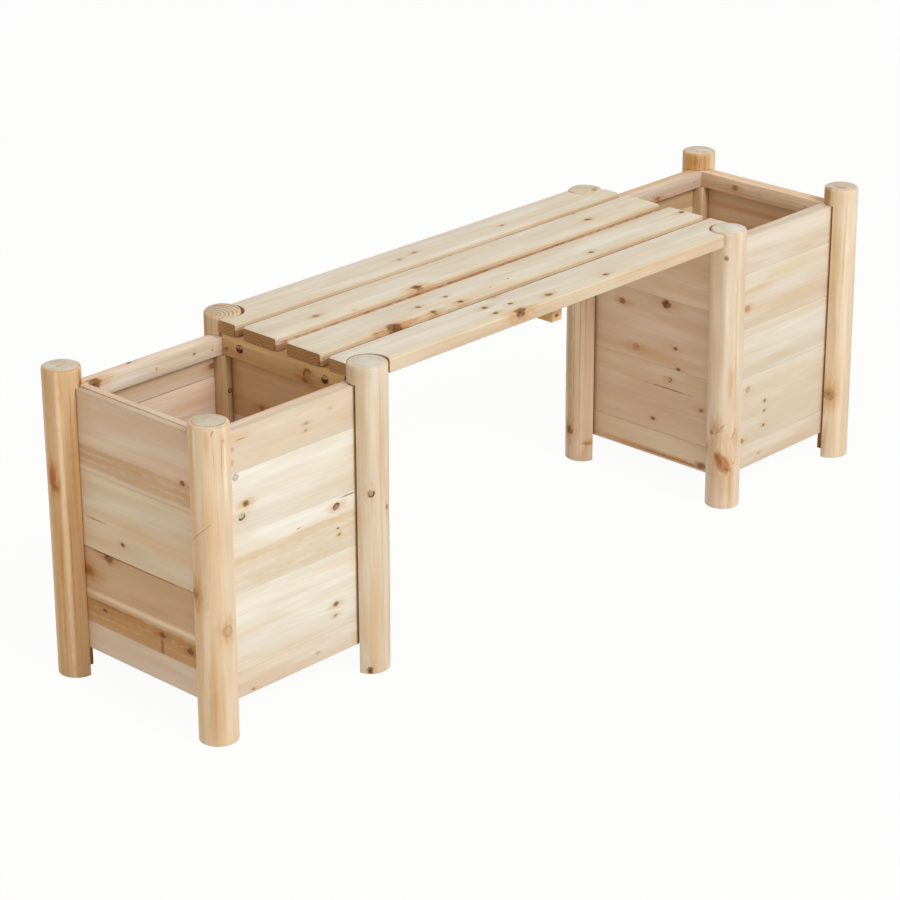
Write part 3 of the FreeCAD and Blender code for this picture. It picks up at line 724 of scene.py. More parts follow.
# Tones of the boards, as daylight shows them
tones = {
    "cream": srgb(234, 222, 204),
    "pinkCream": srgb(233, 217, 197),
    "paleCream": srgb(238, 228, 211),
    "pink": srgb(231, 213, 196),
    "tan": srgb(229, 211, 190),
    "honey": srgb(226, 198, 160),
    "gold": srgb(213, 178, 132),
    "rose": srgb(214, 184, 152),
    "seatCream": srgb(233, 227, 211),
    "rimCream": srgb(244, 234, 219),
    # Brighter and warmer than the rim's own tone: partly painted light, as it falls inside the right planter
    "litRimPeach": srgb(246, 222, 193),
    "amber": srgb(228, 190, 138),
}

# The walls. Seams are heights in metres, tones go from the bottom board up. shade tints a whole wall: partly
# its own tone, partly painted light and shade for how much light falls on it. drop lowers its lower edge,
# and where a place is given for it, a painted brown shadow line runs down the boards where they go in
# behind a post.
# Marks are (place along the wall, height, diameter in millimetres, dark, halo, bark if hollow) and stains
# (place, height, half length, half width, tint, softness), on the outer side unless inside is set.
# Edge marks and edge stains lie on the top edge, at a point.
sideSeams = (0.085, 0.197, 0.309)
faceSeams = (0.080, 0.193, 0.274, 0.364)
walls = {
    "left_front_wall": {
        "tones": ("tan", "paleCream", "paleCream", "paleCream", "tan"), "shade": (0.965, 1.035, 1.095),
        "drop": 0.0006, "paintedShadowLineAt": -0.4100,
        "marks": [
            (-0.497, 0.395, 5, 0.35, 0.5), (-0.499, 0.386, 4, 0.3, 0.4), (-0.454, 0.404, 4, 0.2, 0.3),
            (-0.625, 0.358, 9, 1.0, 0.1, "round"), (-0.608, 0.3165, 8, 0.9, 0.9),
            (-0.616, 0.301, 11, 1.0, 0.4, 290), (-0.446, 0.260, 9, 0.6, 0.8),
            (-0.446, 0.260, 11, 1.0, 0.2, 100), (-0.4436, 0.2276, 3, 0.8, 0.5),
            (-0.4414, 0.2175, 4, 0.7, 0.6), (-0.450, 0.117, 7, 0.9, 0.8), (-0.452, 0.101, 5, 0.45, 0.6),
            (-0.605, 0.047, 4, 0.5, 0.4), (-0.486, 0.057, 4, 0.4, 0.3),
        ],
        "stains": [
            (-0.424, 0.2705, 0.014, 0.0012, (0.45, 0.32, 0.24), 0.6),
            (-0.5155, 0.2512, 0.004, 0.001, (0.55, 0.45, 0.38), 0.6),
            (-0.52, 0.0865, 0.20, 0.004, (0.97, 0.92, 0.86), 0.8),
            (-0.56, 0.378, 0.10, 0.009, (0.97, 0.90, 0.80), 0.9),
            (-0.52, 0.2000, 0.20, 0.00675, (0.93, 0.85, 0.77), 0.5),
            (-0.52, 0.2135, 0.20, 0.00675, (0.94, 0.86, 0.78), 0.5),
            (-0.52, 0.2270, 0.20, 0.00675, (0.94, 0.86, 0.78), 0.5),
            (-0.52, 0.2405, 0.20, 0.00675, (0.92, 0.83, 0.74), 0.5),
            (-0.6134, 0.4083, 0.010, 0.0008, (0.62, 0.46, 0.34), 0.5),
            (-0.6200, 0.4120, 0.020, 0.0060, (0.97, 0.90, 0.76), 0.9),
            (-0.6282, 0.3976, 0.003, 0.0030, (0.80, 0.66, 0.58), 0.7),
            (-0.6290, 0.3794, 0.003, 0.0040, (0.84, 0.72, 0.66), 0.7),
        ],
    },
    "left_outer_wall": {
        "tones": ("pink", "rose", "cream", "pink"), "shade": (0.95, 0.935, 0.885),
        "marks": [
            (-0.089, 0.348, 7, 0.95, 0.6), (0.0367, 0.2218, 6, 1.0, 0.4), (0.0694, 0.1940, 12, 1.0, 1.0),
            (0.112, 0.161, 16, 0.15, 1.0), (0.081, 0.111, 6, 0.9, 0.6), (-0.037, 0.113, 8, 1.0, 0.9),
            (-0.0915, 0.108, 9, 0.9, 0.9),
        ],
        "stains": [
            (0.0, 0.0920, 0.20, 0.0060, (0.88, 0.73, 0.50), 0.5),
            (0.0, 0.1040, 0.20, 0.0060, (0.84, 0.67, 0.43), 0.5),
            (0.0, 0.1160, 0.20, 0.0060, (0.80, 0.62, 0.38), 0.5),
            (0.07, 0.1195, 0.05, 0.0020, (0.80, 0.64, 0.48), 0.7),
            (0.06, 0.0985, 0.05, 0.0016, (1.12, 1.18, 1.22), 0.7),
            (0.0, 0.1305, 0.20, 0.0036, (1.34, 1.52, 1.72), 0.6),
            (0.0, 0.3210, 0.20, 0.00525, (0.86, 0.75, 0.61), 0.5),
            (0.0, 0.3315, 0.20, 0.00525, (0.86, 0.75, 0.61), 0.5),
            (0.0, 0.3420, 0.20, 0.00525, (0.86, 0.75, 0.61), 0.5),
            (0.0, 0.3570, 0.20, 0.0045, (1.08, 1.09, 1.09), 0.7),
            (0.0, 0.3030, 0.20, 0.0040, (1.10, 1.11, 1.12), 0.7),
            (0.0, 0.249, 0.15, 0.016, (1.00, 0.93, 0.87), 0.8),
            (0.08, 0.215, 0.04, 0.012, (1.00, 0.92, 0.86), 0.9),
            (0.112, 0.161, 0.010, 0.006, (0.74, 0.54, 0.38), 0.8),
            (0.0665, 0.1915, 0.0075, 0.0065, (0.70, 0.50, 0.34), 0.6),
            (-0.0355, 0.095, 0.0032, 0.0115, (0.66, 0.47, 0.30), 0.6),
            (0.09, 0.242, 0.016, 0.0010, (0.5, 0.4, 0.32), 0.6),
            (0.03, 0.1960, 0.13, 0.0011, (0.62, 0.47, 0.36), 0.6),
        ],
        "edgeStains": [
            ((-0.6573, 0.0, 0.423), 0.30, 0.0013, (0.42, 0.33, 0.25), 0.5),
            ((-0.6630, 0.0, 0.423), 0.30, 0.0060, (0.86, 0.82, 0.80), 0.5),
        ],
    },
    "left_back_wall": {
        "tones": ("tan", "pink", "tan", "pink", "tan"), "shade": (1.12, 1.13, 1.14), "inside": True,
        "marks": [(-0.4165, 0.380, 8, 0.6, 0.9), (-0.52, 0.15, 7, 0.5, 0.6)],
        "edgeMarks": [((-0.557, 0.1425, 0.4215), 7, 1.0, 0.3)],
        "stains": [
            (-0.56, 0.318, 0.09, 0.003, (0.8, 0.62, 0.45), 0.6),
            (-0.52, 0.3645, 0.14, 0.0009, (0.66, 0.5, 0.38), 0.5),
            (-0.44, 0.335, 0.05, 0.014, (0.93, 0.82, 0.72), 0.8),
        ],
    },
    "left_seat_side_wall": {
        "tones": ("tan", "honey", "tan", "honey"), "shade": (1.06, 0.98, 0.91), "inside": True,
        "marks": [(0.055, 0.33, 9, 0.45, 0.8), (-0.04, 0.24, 7, 0.4, 0.6)],
    },
    "right_front_wall": {
        "tones": ("tan", "cream", "cream", "pinkCream", "pinkCream"), "shade": (0.905, 0.955, 0.98),
        "drop": 0.0019, "paintedShadowLineAt": 0.6408,
        "marks": [
            (0.435, 0.308, 9, 0.35, 0.8), (0.445, 0.172, 9, 0.8, 0.4, "round"), (0.489, 0.141, 5, 0.7, 0.5),
            (0.489, 0.124, 5, 0.6, 0.5), (0.488, 0.100, 5, 0.7, 0.5), (0.434, 0.0885, 7, 0.6, 0.8),
            (0.478, 0.056, 4, 0.3, 0.4),
        ],
        "stains": [
            (0.54, 0.3, 0.12, 0.010, (0.97, 0.91, 0.84), 0.9),
            (0.46, 0.335, 0.03, 0.005, (0.95, 0.85, 0.72), 0.9),
            (0.53, 0.350, 0.05, 0.007, (0.98, 0.93, 0.80), 0.9),
            (0.58, 0.3725, 0.02, 0.002, (0.96, 0.86, 0.75), 0.9),
        ],
    },
    "right_seat_side_wall": {
        "tones": ("cream", "tan", "pink", "pinkCream"), "shade": (0.95, 0.90, 0.855),
        "marks": [
            (0.061, 0.285, 9, 0.8, 0.9), (-0.027, 0.301, 13, 0.95, 0.7), (0.031, 0.2155, 11, 0.35, 0.4),
            (-0.048, 0.232, 6, 0.8, 0.3), (-0.054, 0.199, 7, 0.85, 0.3), (-0.037, 0.178, 9, 0.7, 0.5, 200),
            (-0.006, 0.105, 6, 0.7, 0.5), (-0.102, 0.144, 6, 0.6, 0.6),
        ],
        "stains": [
            (-0.038, 0.1625, 0.036, 0.0010, (0.46, 0.33, 0.25), 0.6),
            (0.0, 0.21, 0.11, 0.012, (0.93, 0.83, 0.72), 0.8),
            (0.0, 0.14, 0.13, 0.030, (0.94, 0.90, 0.87), 0.8),
            (0.0, 0.049, 0.13, 0.0045, (0.84, 0.66, 0.48), 0.5),
            (-0.045, 0.0485, 0.075, 0.0010, (0.52, 0.36, 0.24), 0.6),
            (-0.106, 0.053, 0.012, 0.0050, (0.46, 0.29, 0.17), 0.6),
            (0.0, 0.0858, 0.12, 0.0008, (0.90, 0.84, 0.78), 0.6),
        ],
    },
    "right_back_wall": {
        "tones": ("pink", "cream", "tan", "cream", "honey"),
        "marks": [
            (0.46, 0.24, 9, 0.7, 0.8), (0.60, 0.13, 7, 0.8, 0.6), (0.55, 0.33, 6, 0.5, 0.7),
            (0.50, 0.40, 5, 0.6, 0.4),
        ],
        "stains": [(0.52, 0.22, 0.12, 0.010, (0.92, 0.82, 0.68), 0.8)],
    },
    "right_outer_wall": {
        "tones": ("tan", "cream", "tan", "tan"), "shade": (1.14, 1.06, 0.91), "inside": True,
        "marks": [
            (0.06, 0.25, 9, 0.75, 0.8), (-0.05, 0.15, 7, 0.8, 0.6), (-0.02, 0.35, 6, 0.5, 0.7),
            (0.08, 0.07, 5, 0.6, 0.4),
        ],
        "stains": [
            (0.0, 0.12, 0.14, 0.012, (0.92, 0.80, 0.64), 0.8),
            (0.0, 0.372, 0.14, 0.005, (0.86, 0.70, 0.54), 0.8),
        ],
    },
}
wallBoard = {
    "ease": 0.0005, "steps": 2, "station": 0.05, "wobble": 0.0, "pithDepth": 0.028,
    "apart": 0.0001,  # the gap at a seam
    "seamReach": 0.00015,  # how far above a board a mark still counts as on it
    # A painted brown shadow down each board, where the wall runs in behind a post:
    "line": (0.0020, 0.16, (0.86, 0.60, 0.38), 0.4),  # half width, half height, tint, softness
}


def wallBoardAt(boards, height):
    # The board of a wall that stands at that height
    reach = wallBoard["seamReach"]
    return next(board for board in boards if height <= board["high"].z + reach or board is boards[-1])


def makeWalls():
    for order, (name, wall) in enumerate(walls.items()):
        low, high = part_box(name)
        thick, along = (alongX, alongY) if high.x - low.x < high.y - low.y else (alongY, alongX)
        near, far = sorted((low[thick], high[thick]), key=abs)
        seatSide = name.endswith("seat_side_wall")
        face = near if seatSide != wall.get("inside", False) else far
        seams = faceSeams if along == alongX else sideSeams
        levels = [low.z - wall.get("drop", 0.0), *seams, high.z]
        bm, layers = newWood()
        boards = []
        for step, (bottom, top) in enumerate(zip(levels, levels[1:])):
            boardLow, boardHigh = Vector(low), Vector(high)
            boardLow.z, boardHigh.z = bottom + wallBoard["apart"] / 2, top - wallBoard["apart"] / 2
            # The wall's shade: partly its own tone, partly painted light and shade for how much light falls
            # on it
            tint = shaded(tones[wall["tones"][step]], wall.get("shade", (1, 1, 1)))
            seed = 100 * order + step + 1
            boards.append(addBoard(bm, layers, boardLow, boardHigh, along, wallBoard, tint, seed))

        def onFace(place, height):
            point = Vector((0, 0, height))
            point[along], point[thick] = place, face
            return point

        knots, stains = [], []
        for place, height, *mark in wall["marks"]:
            knots.append(knotAt(wallBoardAt(boards, height), onFace(place, height), *mark))
        for point, *mark in wall.get("edgeMarks", ()):
            knots.append(knotAt(boards[-1], Vector(point), *mark))
        for place, height, *mark in wall.get("stains", ()):
            stains.append(stainAt(wallBoardAt(boards, height), onFace(place, height), *mark))
        for point, *mark in wall.get("edgeStains", ()):
            stains.append(stainAt(boards[-1], Vector(point), *mark))
        # A painted brown shadow line down every board, where the wall runs in behind a post
        if "paintedShadowLineAt" in wall:
            for board in boards:
                height = (board["low"].z + board["high"].z) / 2
                stains.append(stainAt(board, onFace(wall["paintedShadowLineAt"], height), *wallBoard["line"]))
        if seatSide:
            cutters = headCutters(low, high, tones["tan"])
            bm = cutAndRegrain(bm, cutters, lambda point: grainOf(wallBoardAt(boards, point.z), point))
        material = woodMaterial(name + "_wood", finishes["board"], knots, stains)
        finishPiece(bm, name + "_boards", name, material)
    print("walls ready:", len(walls))


# The slats. Marks are (x, y, diameter in millimetres, dark, halo) and stains (x, y, half length, half width,
# tint, softness) on the top face. wane is how far the front side dips in, in metres.
slats = {
    "back_outer_slat": {
        "marks": [
            (-0.021, 0.123, 6, 0.6, 0.6), (-0.057, 0.117, 6, 0.6, 0.6), (-0.0465, 0.08, 5, 0.2, 0.5),
            (0.161, 0.1155, 6, 0.5, 0.6),
        ],
    },
    "back_inner_slat": {
        # Its narrow sides are tinted darker still: partly their own colour, partly painted shade
        "wane": 0.0012, "edgeTint": (0.88, 0.74, 0.64),
        "marks": [
            (-0.127, 0.015, 13, 1.0, 1.0), (-0.3075, 0.0335, 8, 0.6, 0.8), (-0.254, 0.013, 5, 0.2, 0.4),
            (0.271, 0.039, 8, 0.9, 0.8), (0.277, 0.075, 6, 0.4, 0.4),
        ],
    },
    "front_inner_slat": {
        "marks": [
            (-0.2625, -0.074, 18, 1.0, 1.0), (-0.1855, -0.045, 7, 0.8, 0.9), (-0.128, -0.042, 6, 0.9, 0.6),
            (-0.129, -0.072, 8, 1.0, 0.8), (-0.184, -0.073, 8, 1.0, 0.9), (0.395, -0.042, 8, 1.0, 0.7),
            (0.157, -0.066, 7, 0.9, 0.6), (-0.055, -0.061, 3, 0.6, 0.2), (-0.012, -0.055, 3, 0.6, 0.2),
        ],
        "stains": [
            (-0.2625, -0.0735, 0.009, 0.0038, (0.42, 0.30, 0.22), 0.7),
            (-0.2415, -0.0775, 0.012, 0.0011, (0.42, 0.28, 0.2), 0.5),
            (-0.236, -0.0755, 0.022, 0.004, (0.92, 0.76, 0.58), 0.7),
            (-0.295, -0.0765, 0.016, 0.0014, (0.55, 0.36, 0.22), 0.5),
            (-0.205, -0.0745, 0.034, 0.0035, (0.93, 0.79, 0.62), 0.7),
        ],
    },
    "front_outer_slat": {
        "marks": [
            (0.096, -0.146, 7, 0.9, 0.8), (-0.023, -0.1425, 9, 0.8, 0.9), (-0.098, -0.158, 14, 0.9, 1.0),
            (-0.087, -0.129, 6, 0.9, 0.7), (-0.084, -0.093, 8, 0.4, 0.7), (-0.125, -0.114, 8, 0.8, 0.9),
            (-0.129, -0.1395, 7, 0.9, 0.7),
        ],
    },
}
slatBoard = {
    "tone": "seatCream", "ease": 0.003, "steps": 4, "station": 0.03, "wobble": 0.0006, "pithDepth": 0.035,
    # The narrow sides take a darker, warmer tint: partly their own colour, partly painted shade
    "edgeTint": (0.87, 0.78, 0.70),
    # Painted shade: the lower half of the side that faces the gap to the next slat is darkened, as the next
    # slat shades it. Height, half width, tint, softness
    "paintedGapShadows": [(0.4422, 0.0009, (0.66, 0.49, 0.36), 0.7), (0.4340, 0.0072, (0.62, 0.44, 0.30), 0.25)],
}
notchDrift = {  # these notches are cut a little off their middle
    (-innerX, sideY): (0.0012, -0.0012),
    (innerX, -sideY): (-0.0024, -0.0019),
}


def dipArris(bm, low, wane):
    # The front side is a little uneven, as where a board was sawn close to the bark
    for vertex in bm.verts:
        if vertex.co.y < low.y + slatBoard["ease"] and vertex.co.z > low.z + slatBoard["ease"]:
            dip = noise.noise(Vector((vertex.co.x * 14, 2.7, 0)))
            vertex.co.y += wane * max(0.0, dip + 0.2)


def notchCutters(low, high, tint):
    # The round notches of an outer slat
    cutters = []
    for x, y in seatPosts:
        if low.y < y < high.y:
            driftX, driftY = notchDrift.get((x, y), (0.0, 0.0))
            outline = circlePoints(x + driftX, y + driftY, postNotchRadius)
            cutters.append(prismMesh(outline, low.z - cutting["reach"], high.z + cutting["reach"], tint))
    return cutters


def makeSlats():
    tint = tones[slatBoard["tone"]]
    for order, (name, slat) in enumerate(slats.items()):
        low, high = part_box(name)
        bm, layers = newWood()
        board = addBoard(bm, layers, low, high, alongX, {**slatBoard, **slat}, tint, 900 + order)
        if "wane" in slat:
            dipArris(bm, low, slat["wane"])
        knots = [knotAt(board, Vector((x, y, high.z)), *mark) for x, y, *mark in slat["marks"]]
        stains = [stainAt(board, Vector((x, y, high.z)), *mark) for x, y, *mark in slat.get("stains", ())]
        # Painted shade low on the side that faces the gap to the next slat
        if name != "front_outer_slat":
            for level, *shade in slatBoard["paintedGapShadows"]:
                stains.append(stainAt(board, Vector((0, low.y, level)), high.x - low.x, *shade))
        if name.endswith("outer_slat"):
            bm = cutAndRegrain(bm, notchCutters(low, high, tint), lambda point: grainOf(board, point))
        material = woodMaterial(name + "_wood", finishes["slat"], knots, stains)
        finishPiece(bm, name + "_plank", name, material)
    print("slats ready:", len(slats))


# The posts: peeled logs, each a little bent, with swellings at the knots. Shifts and radii are in mm.
# Knots: direction in degrees round the log, height, diameter in mm, dark, halo, swelling in mm, and bark
# if hollow. Bands run down the log: direction and height of the lower end, then of the upper end,
# half width in mm, tint, and softness if it isn't the usual one. Head marks: direction, mm from the
# middle, length in mm, degrees off the radial direction, half width in mm, tint.
# Hoops on the head: radius and half width in mm, tint.
paleTint, tanTint, brownTint = (1.16, 1.24, 1.34), (0.90, 0.80, 0.68), (0.70, 0.50, 0.30)
crackTint = (0.42, 0.33, 0.26)
posts = {
    "left_outer_back_post": {
        "centre": (-outerX, sideY), "headRadius": 26.6, "footRadius": 27.0, "headShift": (-1.4, 0.9),
        "footShift": (-1.1, 1.7), "tone": srgb(222, 192, 153), "headTone": srgb(221, 216, 200),
        "pith": (0.002, -0.003), "gap": 0.0001,
        "knots": [
            (-175, 0.300, 10, 0.15, 0.7, 0.4), (-167, 0.284, 8, 0.35, 0.8, 0.3),
            (-62, 0.427, 8, 0.7, 0.8, 0.0),
        ],
        "bands": [
            # The first band, a pale stripe down the whole log, is a painted highlight
            (-138, 0.0, -144, 0.45, 3.2, (1.22, 1.34, 1.54), 0.5),
            (-116, 0.0, -122, 0.34, 5.0, (0.93, 0.86, 0.76)),
            (178, 0.02, 178, 0.44, 5.0, (0.90, 0.83, 0.66)), (-88, 0.0, -94, 0.40, 3.0, (1.06, 0.94, 0.74)),
            (-160, 0.03, -158, 0.20, 2.0, (0.88, 0.76, 0.58)),
            (-128, 0.05, -128, 0.24, 1.0, (0.86, 0.74, 0.56)),
            (-166, 0.16, -160, 0.27, 5.0, (0.93, 0.85, 0.70)),
            (-105, 0.24, -108, 0.36, 3.0, (0.90, 0.80, 0.64)),
            (-68, 0.24, -68, 0.42, 3.0, (0.70, 0.46, 0.26), 0.4),
            (-112, 0.36, -106, 0.42, 0.6, (0.72, 0.56, 0.4)),
            (-174, 0.282, -172, 0.318, 5.0, (0.84, 0.62, 0.38), 0.5),
            (-132, 0.36, -130, 0.45, 4.0, (1.06, 1.08, 1.08)),
        ],
        "headMarks": [(170, 5, 5, 40, 1.0, crackTint), (200, 2, 6, 0, 0.5, crackTint)],
        "hoops": [(24.5, 1.6, (0.98, 0.84, 0.72))],
    },
    "left_outer_front_post": {
        "centre": (-outerX, -sideY), "headRadius": 26.9, "footRadius": 26.7, "headShift": (-0.3, -1.9),
        "footShift": (-1.6, -1.6), "tone": srgb(231, 209, 177), "headTone": srgb(218, 209, 192),
        "pith": (-0.003, 0.002),
        "knots": [
            (-97, 0.166, 14, 0.45, 0.8, 0.4, "round"), (158, 0.215, 12, 0.5, 1.0, 0.2),
            (-92, 0.431, 5, 0.2, 0.4, 0.1),
        ],
        "bands": [
            (-178, 0.40, -178, 0.45, 2.0, paleTint), (-86, 0.36, -88, 0.45, 3.0, paleTint),
            (-140, 0.418, -140, 0.444, 3.4, (0.94, 0.84, 0.70), 0.7),
            (-126, 0.440, -120, 0.4475, 1.0, (0.72, 0.52, 0.36)),
            (-208, 0.288, -134, 0.319, 0.6, (0.76, 0.62, 0.50), 0.5),
            (-120, 0.38, -122, 0.43, 0.5, (0.88, 0.78, 0.66)),
            (-84, 0.0, -84, 0.45, 6.0, (0.96, 1.05, 1.17)), (170, 0.0, 172, 0.45, 5.0, (0.97, 0.91, 0.82)),
            (-146, 0.02, -142, 0.13, 5.0, (0.90, 0.80, 0.67)),
            (-100, 0.392, -95, 0.424, 0.5, (0.62, 0.52, 0.42)),
            (-90, 0.39, -93, 0.43, 0.4, (0.72, 0.62, 0.5)),
            (-176, 0.10, -174, 0.3, 4.0, (0.93, 0.84, 0.72)),
            (-104, 0.02, -110, 0.13, 3.0, (1.06, 1.09, 1.12)),
            (-128, 0.2, -130, 0.36, 6.0, (1.0, 0.99, 0.99)),
        ],
        "headMarks": [(-126, 18, 12, 70, 0.7, crackTint), (-80, 20, 14, 80, 0.6, crackTint)],
        "hoops": [
            (21.6, 0.5, (0.74, 0.64, 0.54)), (24.0, 1.3, (1.08, 1.12, 1.18)),
            (26.0, 0.4, (0.80, 0.70, 0.60)),
        ],
    },
    "left_inner_front_post": {
        "centre": (-innerX, -sideY), "headRadius": 28.1, "footRadius": 27.0, "headShift": (-1.0, 0.9),
        "footShift": (-2.4, 0.8), "tone": srgb(224, 211, 189), "headTone": srgb(226, 224, 214),
        "pith": (0.001, 0.001), "gap": 0.0012,
        "knots": [
            (-130, 0.271, 9, 1.0, 0.3, 0.3, -40), (-130, 0.2715, 6, 0.3, 0.0, 0.0),
            (-75, 0.245, 6, 0.8, 0.4, 0.2), (-138, 0.005, 8, 0.9, 0.3, 0.0),
        ],
        "bands": [
            (-160, 0.0, -165, 0.42, 5.0, (1.02, 1.04, 1.06)),
            (-120, 0.0, -118, 0.25, 6.0, (0.97, 0.93, 0.88)),
            (-95, 0.1, -100, 0.45, 2.0, (0.94, 0.89, 0.82)), (178, 0.0, 178, 0.45, 5.0, (1.03, 0.91, 0.72)),
        ],
        "headMarks": [
            (-90, 4, 8, 0, 0.4, (0.7, 0.62, 0.54)), (60, 4, 9, 0, 0.4, (0.7, 0.62, 0.54)),
            (170, 4, 8, 0, 0.4, (0.7, 0.62, 0.54)),
        ],
        "hoops": [(19.0, 0.5, (0.88, 0.84, 0.78))],
    },
    "left_inner_back_post": {
        "centre": (-innerX, sideY), "headRadius": 26.4, "footRadius": 27.0, "headShift": (-0.2, -0.3),
        "footShift": (0.0, 0.0), "headTilt": (0.05, 0.05), "headRise": 1.6, "tone": srgb(221, 198, 171),
        "headTone": srgb(219, 204, 183), "pith": (0.019, 0.004),
        "finish": {"ringWidth": 0.0056, "contrast": 0.5, "endContrast": 1.25},
        "knots": [(-100, 0.2, 8, 0.6, 0.8, 0.4)],
        "bands": [
            (166, 0.40, 166, 0.45, 1.4, brownTint), (-150, 0.40, -150, 0.45, 1.2, (1.1, 1.1, 1.1)),
            (-140, 0.40, -140, 0.45, 1.4, brownTint), (-168, 0.41, -168, 0.445, 1.0, tanTint),
        ],
    },
    "right_inner_back_post": {
        "centre": (innerX, sideY), "headRadius": 26.9, "footRadius": 27.0, "headShift": (-0.2, -1.4),
        "footShift": (-0.1, -2.6), "tone": srgb(230, 209, 184), "headTone": srgb(229, 222, 202),
        "pith": (0.002, 0.0),
        "knots": [(172, 0.052, 10, 0.8, 0.9, 0.5), (-136, 0.30, 12, 0.3, 0.6, 0.1)],
        "bands": [
            (168, 0.0, 168, 0.44, 6.0, (0.76, 0.74, 0.68), 0.4),
            (180, 0.34, 178, 0.43, 1.4, (0.66, 0.56, 0.48)),
            (-172, 0.06, -172, 0.36, 1.2, (0.84, 0.74, 0.58)),
            (-150, 0.05, -150, 0.42, 0.9, (0.82, 0.70, 0.56)),
            (-140, 0.0, -140, 0.42, 2.6, (1.03, 1.06, 1.08)),
            (-132, 0.22, -132, 0.40, 0.7, (0.88, 0.76, 0.60)),
            (-94, 0.0, -94, 0.42, 2.4, (0.94, 0.92, 0.78)),
            (-140, 0.0315, -102, 0.0305, 2.4, (0.78, 0.60, 0.42), 0.9),
            (-124, 0.034, -98, 0.034, 5.0, (0.88, 0.76, 0.58), 0.9),
            (-150, 0.0, -130, 0.02, 5.0, (0.92, 0.86, 0.78), 0.9),
        ],
        "headMarks": [(-50, 14, 14, 80, 4.0, (0.66, 0.48, 0.34)), (-70, 17, 5, 60, 1.0, crackTint)],
    },
    "right_inner_front_post": {
        "centre": (innerX, -sideY), "headRadius": 27.2, "footRadius": 26.4, "headShift": (1.5, 0.0),
        "footShift": (5.1, -1.4), "tone": srgb(230, 216, 195), "headTone": srgb(232, 235, 228),
        "pith": (0.0, 0.002), "gap": 0.0010, "finish": {"patches": 1.3},
        "knots": [
            (-147, 0.411, 6, 0.55, 0.3, 0.2), (-145, 0.077, 18, 0.1, 0.5, 1.9),
            (-160, 0.134, 11, 0.15, 0.6, 0.9), (-100, 0.120, 10, 0.1, 0.4, 1.0),
            (150, 0.100, 8, 0.2, 0.5, 0.7), (175, 0.126, 6, 0.45, 0.5, 0.5),
        ],
        "bands": [
            (-140, 0.16, -134, 0.44, 5.0, (1.06, 1.09, 1.12)),
            (-104, 0.16, -110, 0.40, 2.0, (0.92, 0.86, 0.74)),
            (-165, 0.14, -160, 0.42, 4.0, (0.98, 0.96, 0.92)),
            (-126, 0.19, -124, 0.23, 4.0, (0.92, 0.82, 0.68)),
            (-112, 0.0, -112, 0.07, 5.0, (0.93, 0.86, 0.76)),
            (-161, 0.091, -129, 0.065, 9.4, (0.74, 0.49, 0.31), 0.3),
            (-166, 0.091, -150, 0.078, 3.0, (0.72, 0.58, 0.48), 0.6),
            (-138, 0.070, -124, 0.065, 2.0, (0.78, 0.64, 0.54), 0.6),
            (-116, 0.117, -98, 0.134, 1.0, (0.78, 0.66, 0.54)),
            (-166, 0.126, -140, 0.142, 1.1, (0.74, 0.60, 0.48)),
            (146, 0.088, 138, 0.106, 1.6, (0.58, 0.46, 0.38), 0.5),
            (-116, 0.082, -104, 0.075, 0.8, (0.82, 0.68, 0.54)),
            (-104, 0.075, -96, 0.088, 0.8, (0.85, 0.72, 0.58)),
            (-84, 0.0, -84, 0.45, 5.0, (0.95, 0.96, 0.97)),
            (-150, 0.01, -146, 0.05, 3.0, (0.93, 0.87, 0.78), 0.9),
            (-118, 0.02, -114, 0.06, 2.4, (0.90, 0.80, 0.66), 0.9),
            (170, 0.16, 172, 0.45, 5.0, (1.12, 1.06, 1.02)),
            (-122, 0.11, -112, 0.15, 3.0, (1.08, 1.1, 1.12)),
            (-170, 0.10, -160, 0.125, 3.0, (1.0, 0.93, 0.88)),
        ],
    },
    "right_outer_front_post": {
        "centre": (outerX, -sideY), "headRadius": 26.5, "footRadius": 27.4, "headShift": (-1.1, 1.1),
        "footShift": (-0.3, -0.7), "tone": srgb(230, 213, 186), "headTone": srgb(225, 211, 198),
        "pith": (-0.002, -0.001), "gap": 0.0003,
        "knots": [(-157, 0.110, 14, 0.4, 1.0, 0.6)],
        "bands": [
            (160, 0.41, 160, 0.46, 8.0, (0.74, 0.56, 0.40), 0.3),
            (-154, 0.22, -162, 0.42, 3.6, (0.94, 0.84, 0.68), 0.8),
            (-128, 0.3, -122, 0.42, 1.4, (0.90, 0.80, 0.68), 0.8),
            (-110, 0.0, -116, 0.4, 5.0, (1.03, 1.06, 1.10)), (-80, 0.0, -80, 0.45, 5.0, (0.96, 1.02, 1.12)),
            # Partly a golden streak, partly painted light on this edge, which faces away from the key lamp
            (172, 0.0, 172, 0.41, 4.5, (1.16, 1.04, 0.80)),
            (-148, 0.28, -146, 0.36, 3.0, (0.95, 0.94, 0.74), 0.9),
            (-140, 0.12, -150, 0.26, 3.0, (0.96, 0.91, 0.82)),
            (-168, 0.02, -160, 0.06, 3.0, (0.92, 0.80, 0.64), 0.9),
            (-132, 0.02, -136, 0.08, 2.4, (0.95, 0.88, 0.78), 0.9),
        ],
        "headMarks": [(-150, 8, 18, 70, 4.5, (0.74, 0.6, 0.5))],
    },
    "right_outer_back_post": {
        "centre": (outerX, sideY), "headRadius": 26.4, "footRadius": 27.0, "headShift": (-1.4, 1.2),
        "footShift": (-0.6, 1.0), "tone": srgb(222, 188, 142), "headTone": srgb(228, 222, 209),
        "pith": (0.003, 0.001),
        "knots": [(-160, 0.435, 10, 0.1, 0.5, 0.1)],
        "bands": [
            (142, 0.39, 142, 0.46, 3.0, (1.10, 1.24, 1.5), 0.4),
            (-84, 0.39, -84, 0.46, 6.0, (1.05, 1.30, 1.75), 0.5),
            (-178, 0.39, -178, 0.46, 6.0, (0.95, 0.80, 0.46), 0.5),
            (-152, 0.40, -152, 0.45, 3.0, (0.96, 0.80, 0.58)),
